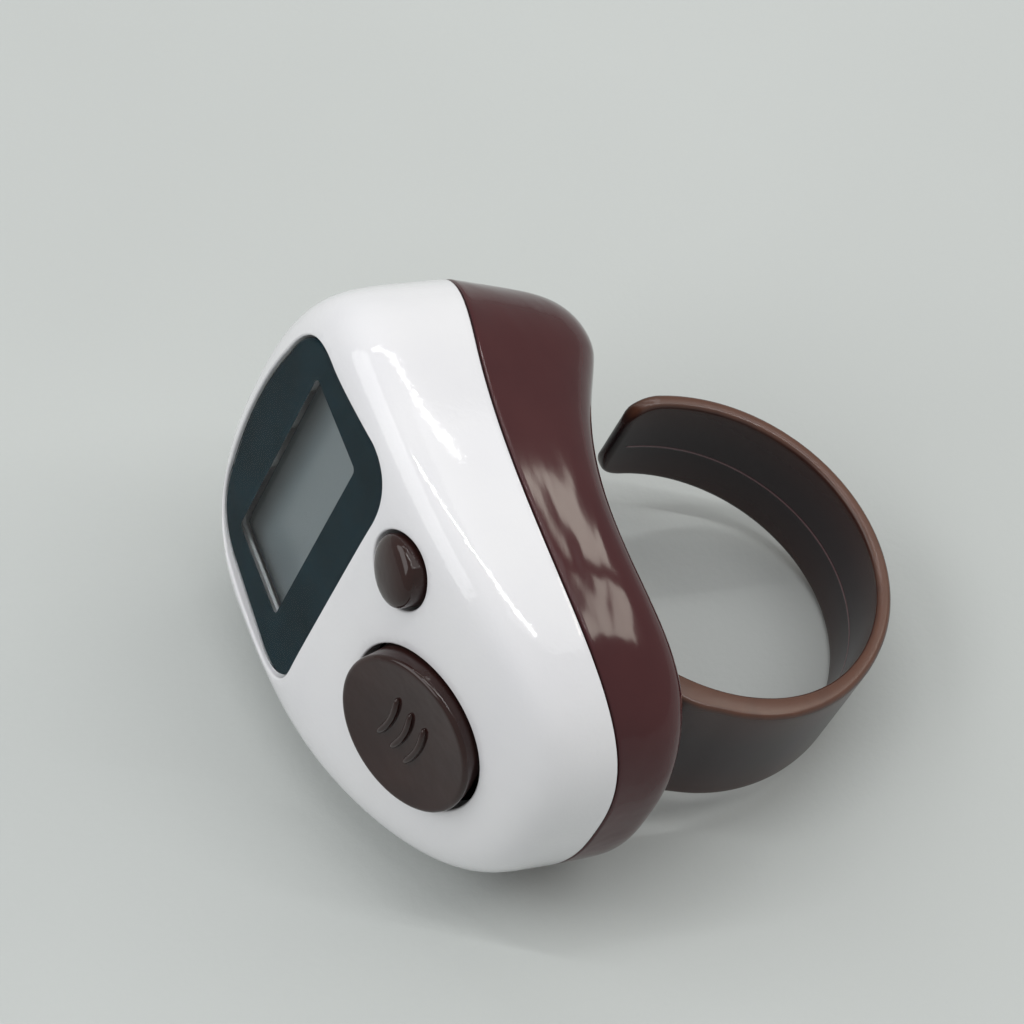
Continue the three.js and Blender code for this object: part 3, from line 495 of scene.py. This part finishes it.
def button_hole(centre, axis, radius, count):
    """Loops down a button's hole: a softened edge, a straight wall, then the inner face."""
    edge, ring = bore(centre, axis, radius + SOFT, count)
    loops = [edge]
    for turn in ROUNDING:
        loops.append(edge - ring * SOFT * np.sin(turn) - axis * SOFT * (1 - np.cos(turn)))
    loops.append(bore(centre, axis, radius, count, WALL)[0])
    return loops


count_hole = button_hole(COUNT_AT, COUNT_AXIS, COUNT_HOLE, 200)
reset_hole = button_hole(RESET_AT, np.array([0, 0, 1.0]), RESET_HOLE, 100)

# The two faces of the cover, each a net with its own spacing, joined round the rim.
RIM_COUNT, OUTER_PITCH, INNER_PITCH = 420, 0.32, 0.7
angles = circle(RIM_COUNT)
rim = [crown(angles, SOFT)]
rim += [crown(angles, SOFT * (1 - np.sin(turn)), SOFT * (1 - np.cos(turn))) for turn in ROUNDING]
rim.append(crown(angles, 0, WALL))
edges = [loops[0] for loops in (seat, count_hole, reset_hole)]
outer = sheet_over(edges, 0.0, SOFT, rim[0], OUTER_PITCH)
edges = [loops[-1] for loops in (seat, count_hole, reset_hole)]
inner = sheet_over(edges, WALL, 0.0, rim[-1], INNER_PITCH)


def turned_part(profile, count, centre=(0, 0, 0)):
    """A profile of (radius, height) turned round the Z axis and moved to centre."""
    profile = np.asarray(profile, float)
    c, s = np.cos(circle(count)), np.sin(circle(count))
    points, faces = strip([np.stack([r * c, r * s, np.full(count, z)], 1) for r, z in profile])
    return points + np.asarray(centre), faces


# The posts for the housing's screws, each with its X, Y and the height of the head's seat, and
# for the board's. Each post runs from the crown's underside and is bored for its screw.
SCREWS = [(-13.8, 3.9, -10.0), (-13.8, -3.9, -10.0), (2.5, -8.0, -8.3)]
BOARD_SCREWS = [(-13.75, 0.0), (1.3, -5.0)]
posts = []
for x, y, radius, foot, bore_radius in (
    *((x, y, 1.35, -6.2, 0.75) for x, y, _ in SCREWS),
    *((x, y, 1.2, -4.75, 0.65) for x, y in BOARD_SCREWS),
):
    top = float(over(np.array([x]), np.array([y]), WALL)[0, 2]) + 0.3
    deep = min(-1.7, top - 1)
    side = [(0, top), (radius, top), (radius, foot)]
    hole = [(bore_radius, foot), (bore_radius, deep), (0, deep)]
    posts.append(turned_part(side + hole, 40, (x, y, 0)))

# Gloss ABS: an even white that the mould leaves mirror-smooth but for a faint waviness.
white, tree, shader, place = finish_of("gloss_white_abs", "#E1E1E4", 0.07)
clouded(tree, shader, place, 9.0, "#DFDFE2", "#E3E3E5")
uneven(tree, shader, place, [(5.0, 0.02), (0.32, 0.008)])

walls = [strip(loops) for loops in (seat, count_hole, reset_hole, rim)]
front = solid_of("front_shell", [outer, inner, *walls, *posts])
fitted(front, white, "housing", "shell_white", "front_cover")


# Display lens
# A flat window of clear acrylic with a blue-black border, screen printed on its back, that
# leaves the display clear. Its edge is polished, and double-sided foam tape holds it.

def lit_through(tree, shader):
    """Lets light fall through a clear piece on to what lies behind it."""
    ends = next(node for node in tree.nodes if node.type == "OUTPUT_MATERIAL")
    path = put(tree, "LightPath")
    clear = put(tree, "BsdfTransparent", {"Color": (0.93, 0.95, 0.95, 1)})
    pick = put(tree, "MixShader")
    tree.links.new(path.outputs["Is Shadow Ray"], pick.inputs[0])
    tree.links.new(shader.outputs["BSDF"], pick.inputs[1])
    tree.links.new(clear.outputs["BSDF"], pick.inputs[2])
    tree.links.new(pick.outputs["Shader"], ends.inputs["Surface"])


LENS_BOTTOM, LENS_BEVEL = LENS_TOP - LENS_THICK, 0.12
lens = [at_height(lens_loop(-LENS_BEVEL), LENS_BOTTOM)]
for turn in ROUNDING:
    loop = lens_loop(LENS_BEVEL * (np.sin(turn) - 1))
    lens.append(at_height(loop, LENS_BOTTOM + LENS_BEVEL * (1 - np.cos(turn))))
for turn in (0, *ROUNDING):
    loop = lens_loop(LENS_BEVEL * (np.cos(turn) - 1))
    lens.append(at_height(loop, LENS_TOP - LENS_BEVEL * (1 - np.sin(turn))))

# Acrylic, polished clear. Its index of refraction is lowered from 1.49, matched to the object:
# at 1.49 the face mirrors the sky so strongly that the dark border turns grey.
acrylic, tree, shader, place = finish_of(
    "clear_acrylic", "#FAFCFC", 0.02, Transmission_Weight=1.0, IOR=1.14,
)
uneven(tree, shader, place, [(5.0, 0.002)])
lit_through(tree, shader)
fitted(solid_of("lens", [strip(lens, True)], 50.0), acrylic, "housing", "lens", "display_lens")

# The real border is on the back. At the lowered index it would look too deep there, so it is
# drawn as a film 0.24 mm under the face that turns down the lens's edge.
PRINT_TOP, PRINT_THICK = LENS_TOP - 0.24, 0.03
SKIRT_FOOT = LENS_BOTTOM + LENS_BEVEL
WINDOW = (-10.87, -4.42, -7.75, 7.2)
edge_loop, skirt_loop = lens_loop(-0.02), lens_loop(-0.02 - PRINT_THICK)
clear_loop = window_loop(skirt_loop, WINDOW, 0.35)
border = [
    at_height(clear_loop, PRINT_TOP), at_height(edge_loop, PRINT_TOP),
    at_height(edge_loop, SKIRT_FOOT), at_height(skirt_loop, SKIRT_FOOT),
    at_height(skirt_loop, PRINT_TOP - PRINT_THICK), at_height(clear_loop, PRINT_TOP - PRINT_THICK),
    at_height(clear_loop, PRINT_TOP),
]
ink, tree, shader, place = finish_of(
    "blue_black_screen_ink", "#0A1A20", 0.4, Specular_IOR_Level=0.0,
)
clouded(tree, shader, place, 4.0, "#07181E", "#0C2027")
fitted(solid_of("lens_print", [strip(border)]), ink, "housing", "lens")

# Foam tape: a matt black ring of fine cells under the lens's edge.
TAPE_TOP, TAPE_FOOT = 1.65, 1.45
tape, tree, shader, place = finish_of("black_foam_tape", "#1C1D1F", 0.85)
uneven(tree, shader, place, [(0.1, 0.02)])
tape_edge = lens_loop(-0.3)
tape_opening = window_loop(tape_edge, (-12.2, -3.7, -9.4, 8.0))
ring = [at_height(tape_edge, TAPE_TOP), at_height(tape_edge, TAPE_FOOT)]
ring += [at_height(tape_opening, TAPE_FOOT), at_height(tape_opening, TAPE_TOP)]
ring.append(at_height(tape_edge, TAPE_TOP))
fitted(solid_of("tape_ring", [strip(ring)]), tape, "housing", "tape", "lens_tape")


# Display
# A reflective twisted-nematic cell: two plates of glass between polarising films, in a dark
# holder that stands on the board, joined to the board's contacts by a striped rubber strip.

def drawn(tree, place):
    """The piece's own coordinates turned back to the drawing's axes, in metres."""
    back = LAID.T @ PLACE * MM
    settings = {"Location": tuple(-back), "Rotation": (LEAN - np.pi / 2, 0.0, DIP)}
    return put(tree, "Mapping", settings, Vector=place).outputs["Vector"]


FACE_BOX = (-12.05, -2.7, -9.25, 9.25)
FACE_FOOT, FACE_HEIGHT = 0.60, 0.68
face_loop = window_loop(lens_loop(0.0, 96), FACE_BOX, 0.3)
display_face = strip([at_height(face_loop, z) for z in (FACE_FOOT, FACE_HEIGHT)], True)

# Grey polariser: a faint green-grey, with a painted shadow of the border, bluer and darker, along
# the far edge.
film, tree, shader, place = finish_of("grey_polariser", "#5A6165", 0.3)
noise = put(tree, "TexNoise", {"Scale": 1 / (3.0 * MM), "Detail": 3.0}, Vector=place)
parts = put(tree, "SeparateXYZ", None, Vector=drawn(tree, place))
shade_sway = put(tree, "Math", {"operation": "MULTIPLY_ADD"})
tree.links.new(noise.outputs["Fac"], shade_sway.inputs[0])
shade_sway.inputs[1].default_value = 0.3 * MM
tree.links.new(parts.outputs["X"], shade_sway.inputs[2])
# The painted shadow of the border fades out between these X, in mm, and noise sways its edge.
BORDER_SHADE_FROM, BORDER_SHADE_TO = -11.4, -10.65
border_shade_range = {"From Min": BORDER_SHADE_FROM * MM, "From Max": BORDER_SHADE_TO * MM}
share = put(tree, "MapRange", border_shade_range, Value=shade_sway.outputs[0])
toned(tree, shader, share.outputs["Result"], "#4A545B", "#565D61")
fitted(solid_of("display_face", [display_face]), film, "housing", "film", "lcd_front_film")

# Soda-lime glass, clear with a faint green edge, and moulded black ABS with a dull grain.
glass, tree, shader, place = finish_of(
    "soda_lime_glass", "#DCE8E4", 0.03, Transmission_Weight=1.0, IOR=1.52,
)
uneven(tree, shader, place, [(4.0, 0.001)])
lit_through(tree, shader)
black_abs, tree, shader, place = finish_of("black_moulded_abs", "#26272A", 0.5)
clouded(tree, shader, place, 1.5, "#242528", "#2A2B2E")
uneven(tree, shader, place, [(0.12, 0.006)])

# Zebra strip: carbon-filled silicone layers 0.1 mm thick, drawn three times as coarse to show.
zebra, tree, shader, place = finish_of("layered_silicone", "#C9B9B0", 0.7)
layers = put(tree, "TexWave", {"Scale": 1 / (0.3 * 20 * MM), "bands_direction": "Y"}, Vector=place)
toned(tree, shader, layers.outputs["Fac"], "#2B2725", "#CDBDB4")


# Circuit board
# A green solder-masked laminate with a chip under black resin and two ceramic chip parts.

board, tree, shader, place = finish_of("green_solder_mask", "#2E6B3F", 0.35)
clouded(tree, shader, place, 1.8, "#2A6439", "#347548")
resin, tree, shader, place = finish_of("black_epoxy_resin", "#131315", 0.25)
uneven(tree, shader, place, [(0.8, 0.03)])
ceramic, tree, shader, place = finish_of("fired_ceramic", "#B69B73", 0.6)
clouded(tree, shader, place, 0.3, "#A98D66", "#C2A982")


# Count button
# Gloss dark brown ABS: a round cap with a soft rim and a shallow dish, three grip ribs across
# it, and a flange that keeps it in the cover. Its foot presses the switch below.

CAP_FLAT, CAP_RIM, DISH_DEPTH = 4.62, 0.28, 0.25
FLANGE_HALF = 4.3
RIB_COUNT, RIB_LENGTH, RIB_WIDTH, RIB_PITCH = 3, 3.6, 0.5, 1.15
RIB_BOW, RIB_RISE = 4.9, 0.33


def dish(radius):
    """The cap's dish: deepest at the middle, and rising as the radius squared to its rim."""
    return -DISH_DEPTH * (1 - (radius / CAP_FLAT) ** 2)


def count_cap():
    """The cap's profile turned on its own axis, with the flange trimmed to clear the walls."""
    turn = np.linspace(0, np.pi / 2, 8)
    profile = [(0, -3.6), (1.75, -3.6), (1.75, -1.55), (3.8, -1.55), (3.8, -3.55)]
    profile += [(5.5, -3.55), (5.5, -2.8), (4.9, -2.8)]
    profile += [(CAP_FLAT + CAP_RIM * np.cos(t), -CAP_RIM + CAP_RIM * np.sin(t)) for t in turn]
    profile += [(r, dish(r)) for r in np.linspace(4.5, 0, 22)]
    points, faces = turned_part(profile, 200)
    low = points[:, 2] < -2.5
    points[low, 0] = np.clip(points[low, 0], -FLANGE_HALF, FLANGE_HALF)
    return points, faces


def grip_rib(x):
    """A rib bowed like the rim: an ellipse of a section carried along an arc, ends drawn in."""
    along = np.linspace(-1, 1, 41)
    swell = np.sqrt(np.clip(1 - np.abs(along) ** 6, 0.0, 1))
    angle = along * RIB_LENGTH / 2 / RIB_BOW
    turn = circle(20)
    loops = []
    for a, size in zip(angle, swell):
        size = max(size, 0.02)
        across = RIB_WIDTH / 2 * size * np.cos(turn)
        radius = RIB_BOW + across
        px, py = x - RIB_BOW + radius * np.cos(a), radius * np.sin(a)
        rise = RIB_RISE * size * np.sin(turn)
        loops.append(np.stack([px, py, dish(np.hypot(px, py)) + rise], 1))
    return strip(loops, True)


def on_count_axis(part):
    """Leans a part by the button's tilt and moves it to the button's place."""
    points, faces = part
    c, s = np.cos(COUNT_TILT), np.sin(COUNT_TILT)
    return points @ np.array([[c, 0, s], [0, 1, 0], [-s, 0, c]]).T + COUNT_AT, faces


ribs = [grip_rib((i - (RIB_COUNT - 1) / 2) * RIB_PITCH) for i in range(RIB_COUNT)]
foot = turned_part([(0, -2.15), (1.15, -2.15), (1.15, 0.0), (0, 0.0)], 48, (7.1, 0, 0))

# Gloss dark brown ABS: near black, with soft pits that break up its highlights.
brown_key, tree, shader, place = finish_of(
    "gloss_dark_brown_abs", "#281412", 0.1, Specular_IOR_Level=0.4,
)
clouded(tree, shader, place, 3.0, "#261210", "#2D1815")
uneven(tree, shader, place, [(1.6, 0.04), (0.3, 0.003)])
cap = solid_of("count_cap", [on_count_axis(part) for part in (count_cap(), *ribs)] + [foot])
fitted(cap, brown_key, "count_button", "button_brown", "count_button")


# Reset button
# The same brown ABS: a small domed pin with a flange, straight over its own switch.

def reset_pin():
    """The pin's profile turned on its axis: a dome of a quarter ellipse on a straight side."""
    t = np.linspace(0, np.pi / 2, 24)
    dome = [(2.1 * np.cos(a) ** 0.8, 2.7 + 0.7 * np.sin(a)) for a in t]
    profile = [(0, -2.15), (1.15, -2.15), (1.15, -0.95), (2.7, -0.95), (2.7, -0.35), (2.1, -0.35)]
    points, faces = turned_part(profile + dome, 120)
    low = points[:, 2] < -0.3
    points[low, 1] = np.minimum(points[low, 1], 1.8)
    return points + np.array([RESET_AT[0], RESET_AT[1], 0]), faces


pin = solid_of("reset_pin", [reset_pin()])
fitted(pin, brown_key, "reset_button", "button_brown", "reset_button")


# Battery and metal parts
# A nickel-plated button cell between a strap and a spring, and plated screws and switch plates.

# Nickel plate over pressed steel: bright, a little brushed by handling.
nickel, tree, shader, place = finish_of("nickel_plate", "#C6C8CA", 0.28, Metallic=1.0)
clouded(tree, shader, place, 2.0, "#BEC0C2", "#CDCFD0")
uneven(tree, shader, place, [(0.25, 0.003)])
gasket, tree, shader, place = finish_of("nylon_gasket", "#D8D5CA", 0.6)
clouded(tree, shader, place, 0.6, "#D0CDC1", "#DEDBD1")


# Rear cover
# The deep lower half in gloss brown ABS, with a saddle for the finger, screw wells and the
# slot that the band's stem goes through. A thin dark seam parts it from the white cover.

SEAM = 0.12
BOWL_X = -0.4  # the point that the back draws in towards
BOWL = quadrant(6.8, 14.0, 9.5)
REAR_WALL = 1.3
BACK_DEPTH, BACK_TILT = 13.75, 0.095
FINGER_X, FINGER_Z, FINGER_RADIUS = 2.0, -22.5, 10.8
BLEND, STEEPEST = 2.7, 0.95
LIP_OUTER, LIP_INNER, LIP_HEIGHT = 1.7, 2.3, 0.6


def back_height(x, inset):
    """The higher of a slightly tilted plane and the finger's cylinder, softly blended: their
    maximum plus the blend times log(1 + e ^ -(difference / blend)). Past 0.95 of its radius the
    cylinder goes on along its tangent, so that the blend fades out evenly."""
    plain = -(BACK_DEPTH - BACK_TILT * x) + inset
    radius, aside = FINGER_RADIUS + inset, np.abs(x - FINGER_X)
    turn = STEEPEST * radius
    rise = np.sqrt(radius ** 2 - np.minimum(aside, turn) ** 2)
    fall = np.maximum(aside - turn, 0) * STEEPEST / np.sqrt(1 - STEEPEST ** 2)
    saddle = FINGER_Z + rise - fall
    return np.maximum(plain, saddle) + BLEND * np.log1p(np.exp(-np.abs(plain - saddle) / BLEND))


def bowl(angle, along, inset=0.0):
    """Rear cover: as the crown, downwards, but drawn in by a taper as it deepens."""
    ox, oy = outline(angle, inset)
    share, up = (np.interp(along, BOWL[0], column) for column in BOWL[1:])
    taper = 1 - (0.06 - 0.0034 * ox) * up
    x = BOWL_X + (ox - BOWL_X) * share * taper
    base = parting(ox) - SEAM
    z = base + (back_height(x, inset) - base) * up
    return np.stack(np.broadcast_arrays(x, oy * share * taper, z), -1)


def closed_bowl(inset, steps, others):
    """The bowl's rings from the pole to its rim, for a solid that the other loops go on with."""
    rows = [bowl(angles, along, inset) for along in np.linspace(BOWL[0][-1], SOFT, steps)]
    return rows + others


# The shell in one skin: up the outside, over the softened rim and the lip, and down the inside,
# which thins from the lip's wall to its own over the first 2 mm.
edge = [bowl(angles, SOFT * (1 - np.sin(turn)), SOFT * (1 - np.cos(turn))) for turn in ROUNDING]
lip = []
for inset, lift in (
    (LIP_OUTER, 0.0), (LIP_OUTER, LIP_HEIGHT), (LIP_INNER, LIP_HEIGHT), (LIP_INNER, 0.0),
):
    ox, oy = outline(angles, inset)
    lip.append(np.stack([ox, oy, parting(ox) - SEAM + lift], 1))
inside_rows = []
for along in np.linspace(0.3, BOWL[0][-1], 60):
    inset = LIP_INNER - (LIP_INNER - REAR_WALL) * min(1, along / 2.0)
    inside_rows.append(bowl(angles, along, inset))
shell = solid_of("rear_shell", [strip(closed_bowl(0.0, 90, edge) + lip + inside_rows)])


def joined(body, changes):
    """Unites or cuts with each tool in turn by Boolean modifiers, and keeps the result's mesh."""
    for how, tool in changes:
        change = body.modifiers.new(how, "BOOLEAN")
        change.operation, change.object, change.solver = how, tool, "MANIFOLD"
    worked_out = body.evaluated_get(bpy.context.evaluated_depsgraph_get())
    shaped = bpy.data.meshes.new_from_object(worked_out)
    body.modifiers.clear()
    body.data = shaped
    for _, tool in changes:
        bpy.data.objects.remove(tool)
    shaped.shade_smooth()
    shaped.set_sharp_from_angle(angle=np.radians(32))
    return body


# The bosses of the screw wells, each cut to a core that ends half way through the wall.
CORE_INSET = REAR_WALL / 2
ox, oy = outline(angles, CORE_INSET)
lid = np.stack([ox, oy, parting(ox) - SEAM], 1)
middle = np.broadcast_to(np.array([0, 0, -5.0]), lid.shape)
boss_side = [(0, -19), (1.75, -19), (1.75, -6.5), (0, -6.5)]
bosses = [
    solid_of(f"boss_{i}", [turned_part(boss_side, 48, (x, y, 0))])
    for i, (x, y, _) in enumerate(SCREWS)
]
for boss in bosses:
    core = solid_of("core", [strip(closed_bowl(CORE_INSET, 60, [lid, middle]))])
    joined(boss, [("INTERSECT", core)])
wells = []
for i, (x, y, seat_z) in enumerate(SCREWS):
    steps = [(0, -19), (1.3, -19), (1.3, seat_z), (0.75, seat_z), (0.75, -6.0), (0, -6.0)]
    wells.append(solid_of(f"well_{i}", [turned_part(steps, 64, (x, y, 0))]))


def plate(x0, x1, half, low, high):
    """A block from x0 to x1, half a width to each side, between two heights."""
    loop = np.array([(x0, -half), (x1, -half), (x1, half), (x0, half)])
    return strip([at_height(loop, low), at_height(loop, high)], True)


# The slot for the band's stem. The stem leaves the band's circle at the angle ROOT, in degrees.
RING_X, RING_Z, RING_RADIUS, ROOT = 1.75, -20.25, 10.4, 46.0
STEM_X = RING_X + RING_RADIUS * np.cos(np.radians(ROOT))
slot = solid_of("slot", [plate(STEM_X - 0.12, STEM_X + 2.22, 4.82, -19.0, -7.0)])

# Gloss brown ABS: deep and glassy, with the slow waves of a thick moulding in its reflections.
brown, tree, shader, place = finish_of("gloss_brown_abs", "#421E20", 0.1, Specular_IOR_Level=0.36)
clouded(tree, shader, place, 7.0, "#3F1B1E", "#462123")
flow = put(tree, "Mapping", {"Scale": (0.28, 1.0, 1.0)}, Vector=drawn(tree, place))
uneven(tree, shader, flow.outputs["Vector"], [(3.0, 0.10), (0.35, 0.0012)])
changes = [("UNION", boss) for boss in bosses]
changes += [("DIFFERENCE", tool) for tool in (*wells, slot)]
joined(shell, changes)
fitted(shell, brown, "housing", "shell_brown", "rear_cover")


# Finger band
# One open hoop of satin brown plastic, thin enough to spring, with rolled rims and a fine
# mould line round its inside. Its stem is let into the rear cover and held there by a foot.

TIP, THICKEN = -185.0, 20.0  # degrees round the circle
TIP_ROUND, ROLL = 1.8, 0.36
THIN, NARROW = 0.945, 7.39  # the section at the tip
THICKER, WIDER = 0.575, 2.0  # what it gains towards the stem
STEM_END = -9.0
LINE_HEIGHT = 0.03
LINE_STEPS = np.array([-0.14, -0.07, -0.035, 0, 0.035, 0.07, 0.14])
NEAR_TIP = np.array([
    0, 0.015, 0.05, 0.1, 0.17, 0.25, 0.34, 0.5, 0.7, 0.9, 1.1, 1.3, 1.5, 1.65, 1.8,
])


def smooth(value, low, high):
    """0 below low, 1 above high, and 3 t^2 - 2 t^3 between."""
    t = np.clip((value - low) / (high - low), 0, 1)
    return t * t * (3 - 2 * t)


def rolled(out, v, start, radius):
    """A rolled corner of the section: a quarter circle round (out, v) from the angle start."""
    quarter = start + np.linspace(0, np.pi / 2, 7)
    return [(out + radius * np.cos(q), v + radius * np.sin(q)) for q in quarter]


def band():
    """The hoop: a section with rolled rims carried round the finger from the tip to the stem.
    The section is drawn in at the tip, first in plan, then all round, to close it softly."""
    per_mm = 1 / np.radians(RING_RADIUS)
    turns = np.concatenate([TIP + NEAR_TIP * per_mm, np.linspace(TIP + 2.0 * per_mm, ROOT, 150)])
    stem = np.linspace(0.05, 1, 14)
    loops, across_of, along_of, highlight_of = [], [], [], []
    root_z = RING_Z + RING_RADIUS * np.sin(np.radians(ROOT))
    for turn in (*turns, *(ROOT + stem)):
        lift = max(0.0, turn - ROOT) * (STEM_END - root_z)
        turn = min(turn, ROOT)
        thick = THIN + THICKER * (smooth(turn, -ROOT, THICKEN) + smooth(turn, THICKEN, ROOT))
        half = (NARROW + WIDER * smooth(turn, -ROOT, ROOT)) / 2
        from_tip = (turn - TIP) / per_mm
        if from_tip < TIP_ROUND:
            half -= TIP_ROUND - np.sqrt(TIP_ROUND ** 2 - (TIP_ROUND - from_tip) ** 2)
        shrink = ROLL - np.sqrt(max(0, ROLL ** 2 - max(0, ROLL - from_tip) ** 2))
        shrink = min(shrink, ROLL * 0.98)
        half -= shrink
        low, high = shrink, thick - shrink
        roll = max(0.005, ROLL - shrink)
        facing = np.radians(turn)
        if turn > THICKEN:
            facing = np.radians(THICKEN * (1 - smooth(turn, THICKEN, ROOT)))
        line_at = half - 0.57 * 2 * half
        inner_v = np.concatenate([np.linspace(half - roll, -half + roll, 26), line_at + LINE_STEPS])
        inner_v = np.sort(inner_v)[::-1]
        ridge = LINE_HEIGHT * np.exp(-((inner_v - line_at) / 0.06) ** 2) * (from_tip > 1.0)
        outline_points = (
            rolled(high - roll, half - roll, 0, roll)
            + rolled(low + roll, half - roll, np.pi / 2, roll)
            + list(zip(low - ridge[1:-1], inner_v[1:-1]))
            + rolled(low + roll, -half + roll, np.pi, roll)
            + rolled(high - roll, -half + roll, 1.5 * np.pi, roll)
            + [(high, v) for v in np.linspace(-half + roll, half - roll, 24)[1:-1]]
        )
        out, v = np.array(outline_points).T
        cx = RING_X + RING_RADIUS * np.cos(np.radians(turn))
        cz = RING_Z + RING_RADIUS * np.sin(np.radians(turn)) + lift
        loops.append(np.stack([cx + out * np.cos(facing), v, cz + out * np.sin(facing)], 1))
        # A mask for the painted highlight along the mould line's ridge.
        highlight_of.append(np.exp(-((v - line_at) / 0.07) ** 2) * (out < 0.3) * (from_tip > 1.0))
        across_of.append(v / (half + shrink))
        along_of.append(np.full(len(v), from_tip + lift))
    points, faces = strip(loops, True)
    along, across, line = (np.concatenate(rows) for rows in (along_of, across_of, highlight_of))
    return points, faces, along, across, line


points, faces, along, across, line = band()
mesh = bpy.data.meshes.new("band")
mesh.from_pydata(laid(points), [], faces)
mould_line_highlight = mesh.attributes.new("mould_line_highlight", "FLOAT", "POINT")
mould_line_highlight.data.foreach_set("value", line.astype(np.float32))
layer = mesh.uv_layers.new(name="along_across")
owner = np.zeros(len(mesh.loops), np.int32)
mesh.loops.foreach_get("vertex_index", owner)
# The map runs along the band, 60 mm to its width of 1, and across it from rim to rim.
flat = np.stack([along[owner] / 60, across[owner] / 2 + 0.5], 1).astype(np.float32)
layer.data.foreach_set("uv", flat.ravel())
work = bmesh.new()
work.from_mesh(mesh)
bmesh.ops.recalc_face_normals(work, faces=work.faces)
work.to_mesh(mesh)
work.free()
mesh.shade_smooth()
mesh.set_sharp_from_angle(angle=np.radians(60))
hoop = bpy.data.objects.new("band_hoop", mesh)
bpy.context.scene.collection.objects.link(hoop)

# Satin brown plastic: near black in the thick, warmer where thin rims let light through; painted
# highlight on the mould line.
satin, tree, shader, place = finish_of(
    "satin_brown_plastic", "#2A1A1A", 0.27, Specular_IOR_Level=0.5,
)
uv = put(tree, "UVMap", {"uv_map": "along_across"})
parts = put(tree, "SeparateXYZ", None, Vector=uv.outputs["UV"])
off = put(tree, "Math", {"operation": "SUBTRACT"})
tree.links.new(parts.outputs["Y"], off.inputs[0])
off.inputs[1].default_value = 0.5
size = put(tree, "Math", {"operation": "ABSOLUTE"})
tree.links.new(off.outputs[0], size.inputs[0])
noise = put(tree, "TexNoise", {"Scale": 1 / (1.2 * MM), "Detail": 3.0}, Vector=place)
shift = put(tree, "Math", {"operation": "MULTIPLY_ADD"})
tree.links.new(noise.outputs["Fac"], shift.inputs[0])
shift.inputs[1].default_value = 0.03
tree.links.new(size.outputs[0], shift.inputs[2])
ramp = put(tree, "ValToRGB", None, Fac=shift.outputs[0])
ramp.color_ramp.elements[0].position, ramp.color_ramp.elements[0].color = 0.14, srgb("#24171B")
ramp.color_ramp.elements[1].position, ramp.color_ramp.elements[1].color = 0.515, srgb("#583729")
for where, tone in ((0.40, "#34201F"), (0.48, "#3A241F")):
    ramp.color_ramp.elements.new(where).color = srgb(tone)
# The mould line is painted lighter: a painted highlight where its ridge catches the light.
seam = put(tree, "Attribute", {"attribute_name": "mould_line_highlight"})
line_highlight = put(tree, "Mix", {"data_type": "RGBA"})
tree.links.new(seam.outputs["Fac"], line_highlight.inputs[0])
tree.links.new(ramp.outputs["Color"], line_highlight.inputs[6])
line_highlight.inputs[7].default_value = srgb("#7A5F62")
tree.links.new(line_highlight.outputs[2], shader.inputs["Base Color"])
uneven(tree, shader, place, [(3.0, 0.01), (0.15, 0.002)])

# The foot on the stem's end, inside the cover and wider than the slot.
anchor = solid_of("band_foot", [plate(STEM_X - 1.1, STEM_X + 3.2, 5.8, -9.2, -8.4)])
fitted(hoop, satin, "housing", "band_brown", "finger_band")
fitted(anchor, satin, "housing", "band_brown")

# Finishes of the pieces that keep the frame's own shape, each named for what the piece is.
for material, nodes in (
    (film, ["lcd_rear_film"]),
    (glass, ["lcd_front_glass", "lcd_rear_glass"]),
    (black_abs, [
        "lcd_holder", "count_switch_base", "reset_switch_base", "count_switch_plunger",
        "reset_switch_plunger",
    ]),
    (zebra, ["zebra_strip"]),
    (board, ["circuit_board"]),
    (resin, ["chip_resin", "resistor"]),
    (ceramic, ["capacitor"]),
    (gasket, ["battery_gasket"]),
    (nickel, [
        "battery_can", "battery_cap", "battery_strap", "battery_spring", "count_switch_cover",
        "reset_switch_cover", "housing_screw_1", "housing_screw_2", "housing_screw_3",
        "board_screw_1", "board_screw_2",
    ]),
):
    for node in nodes:
        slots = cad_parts[node].data.materials
        slots.clear()
        slots.append(material)
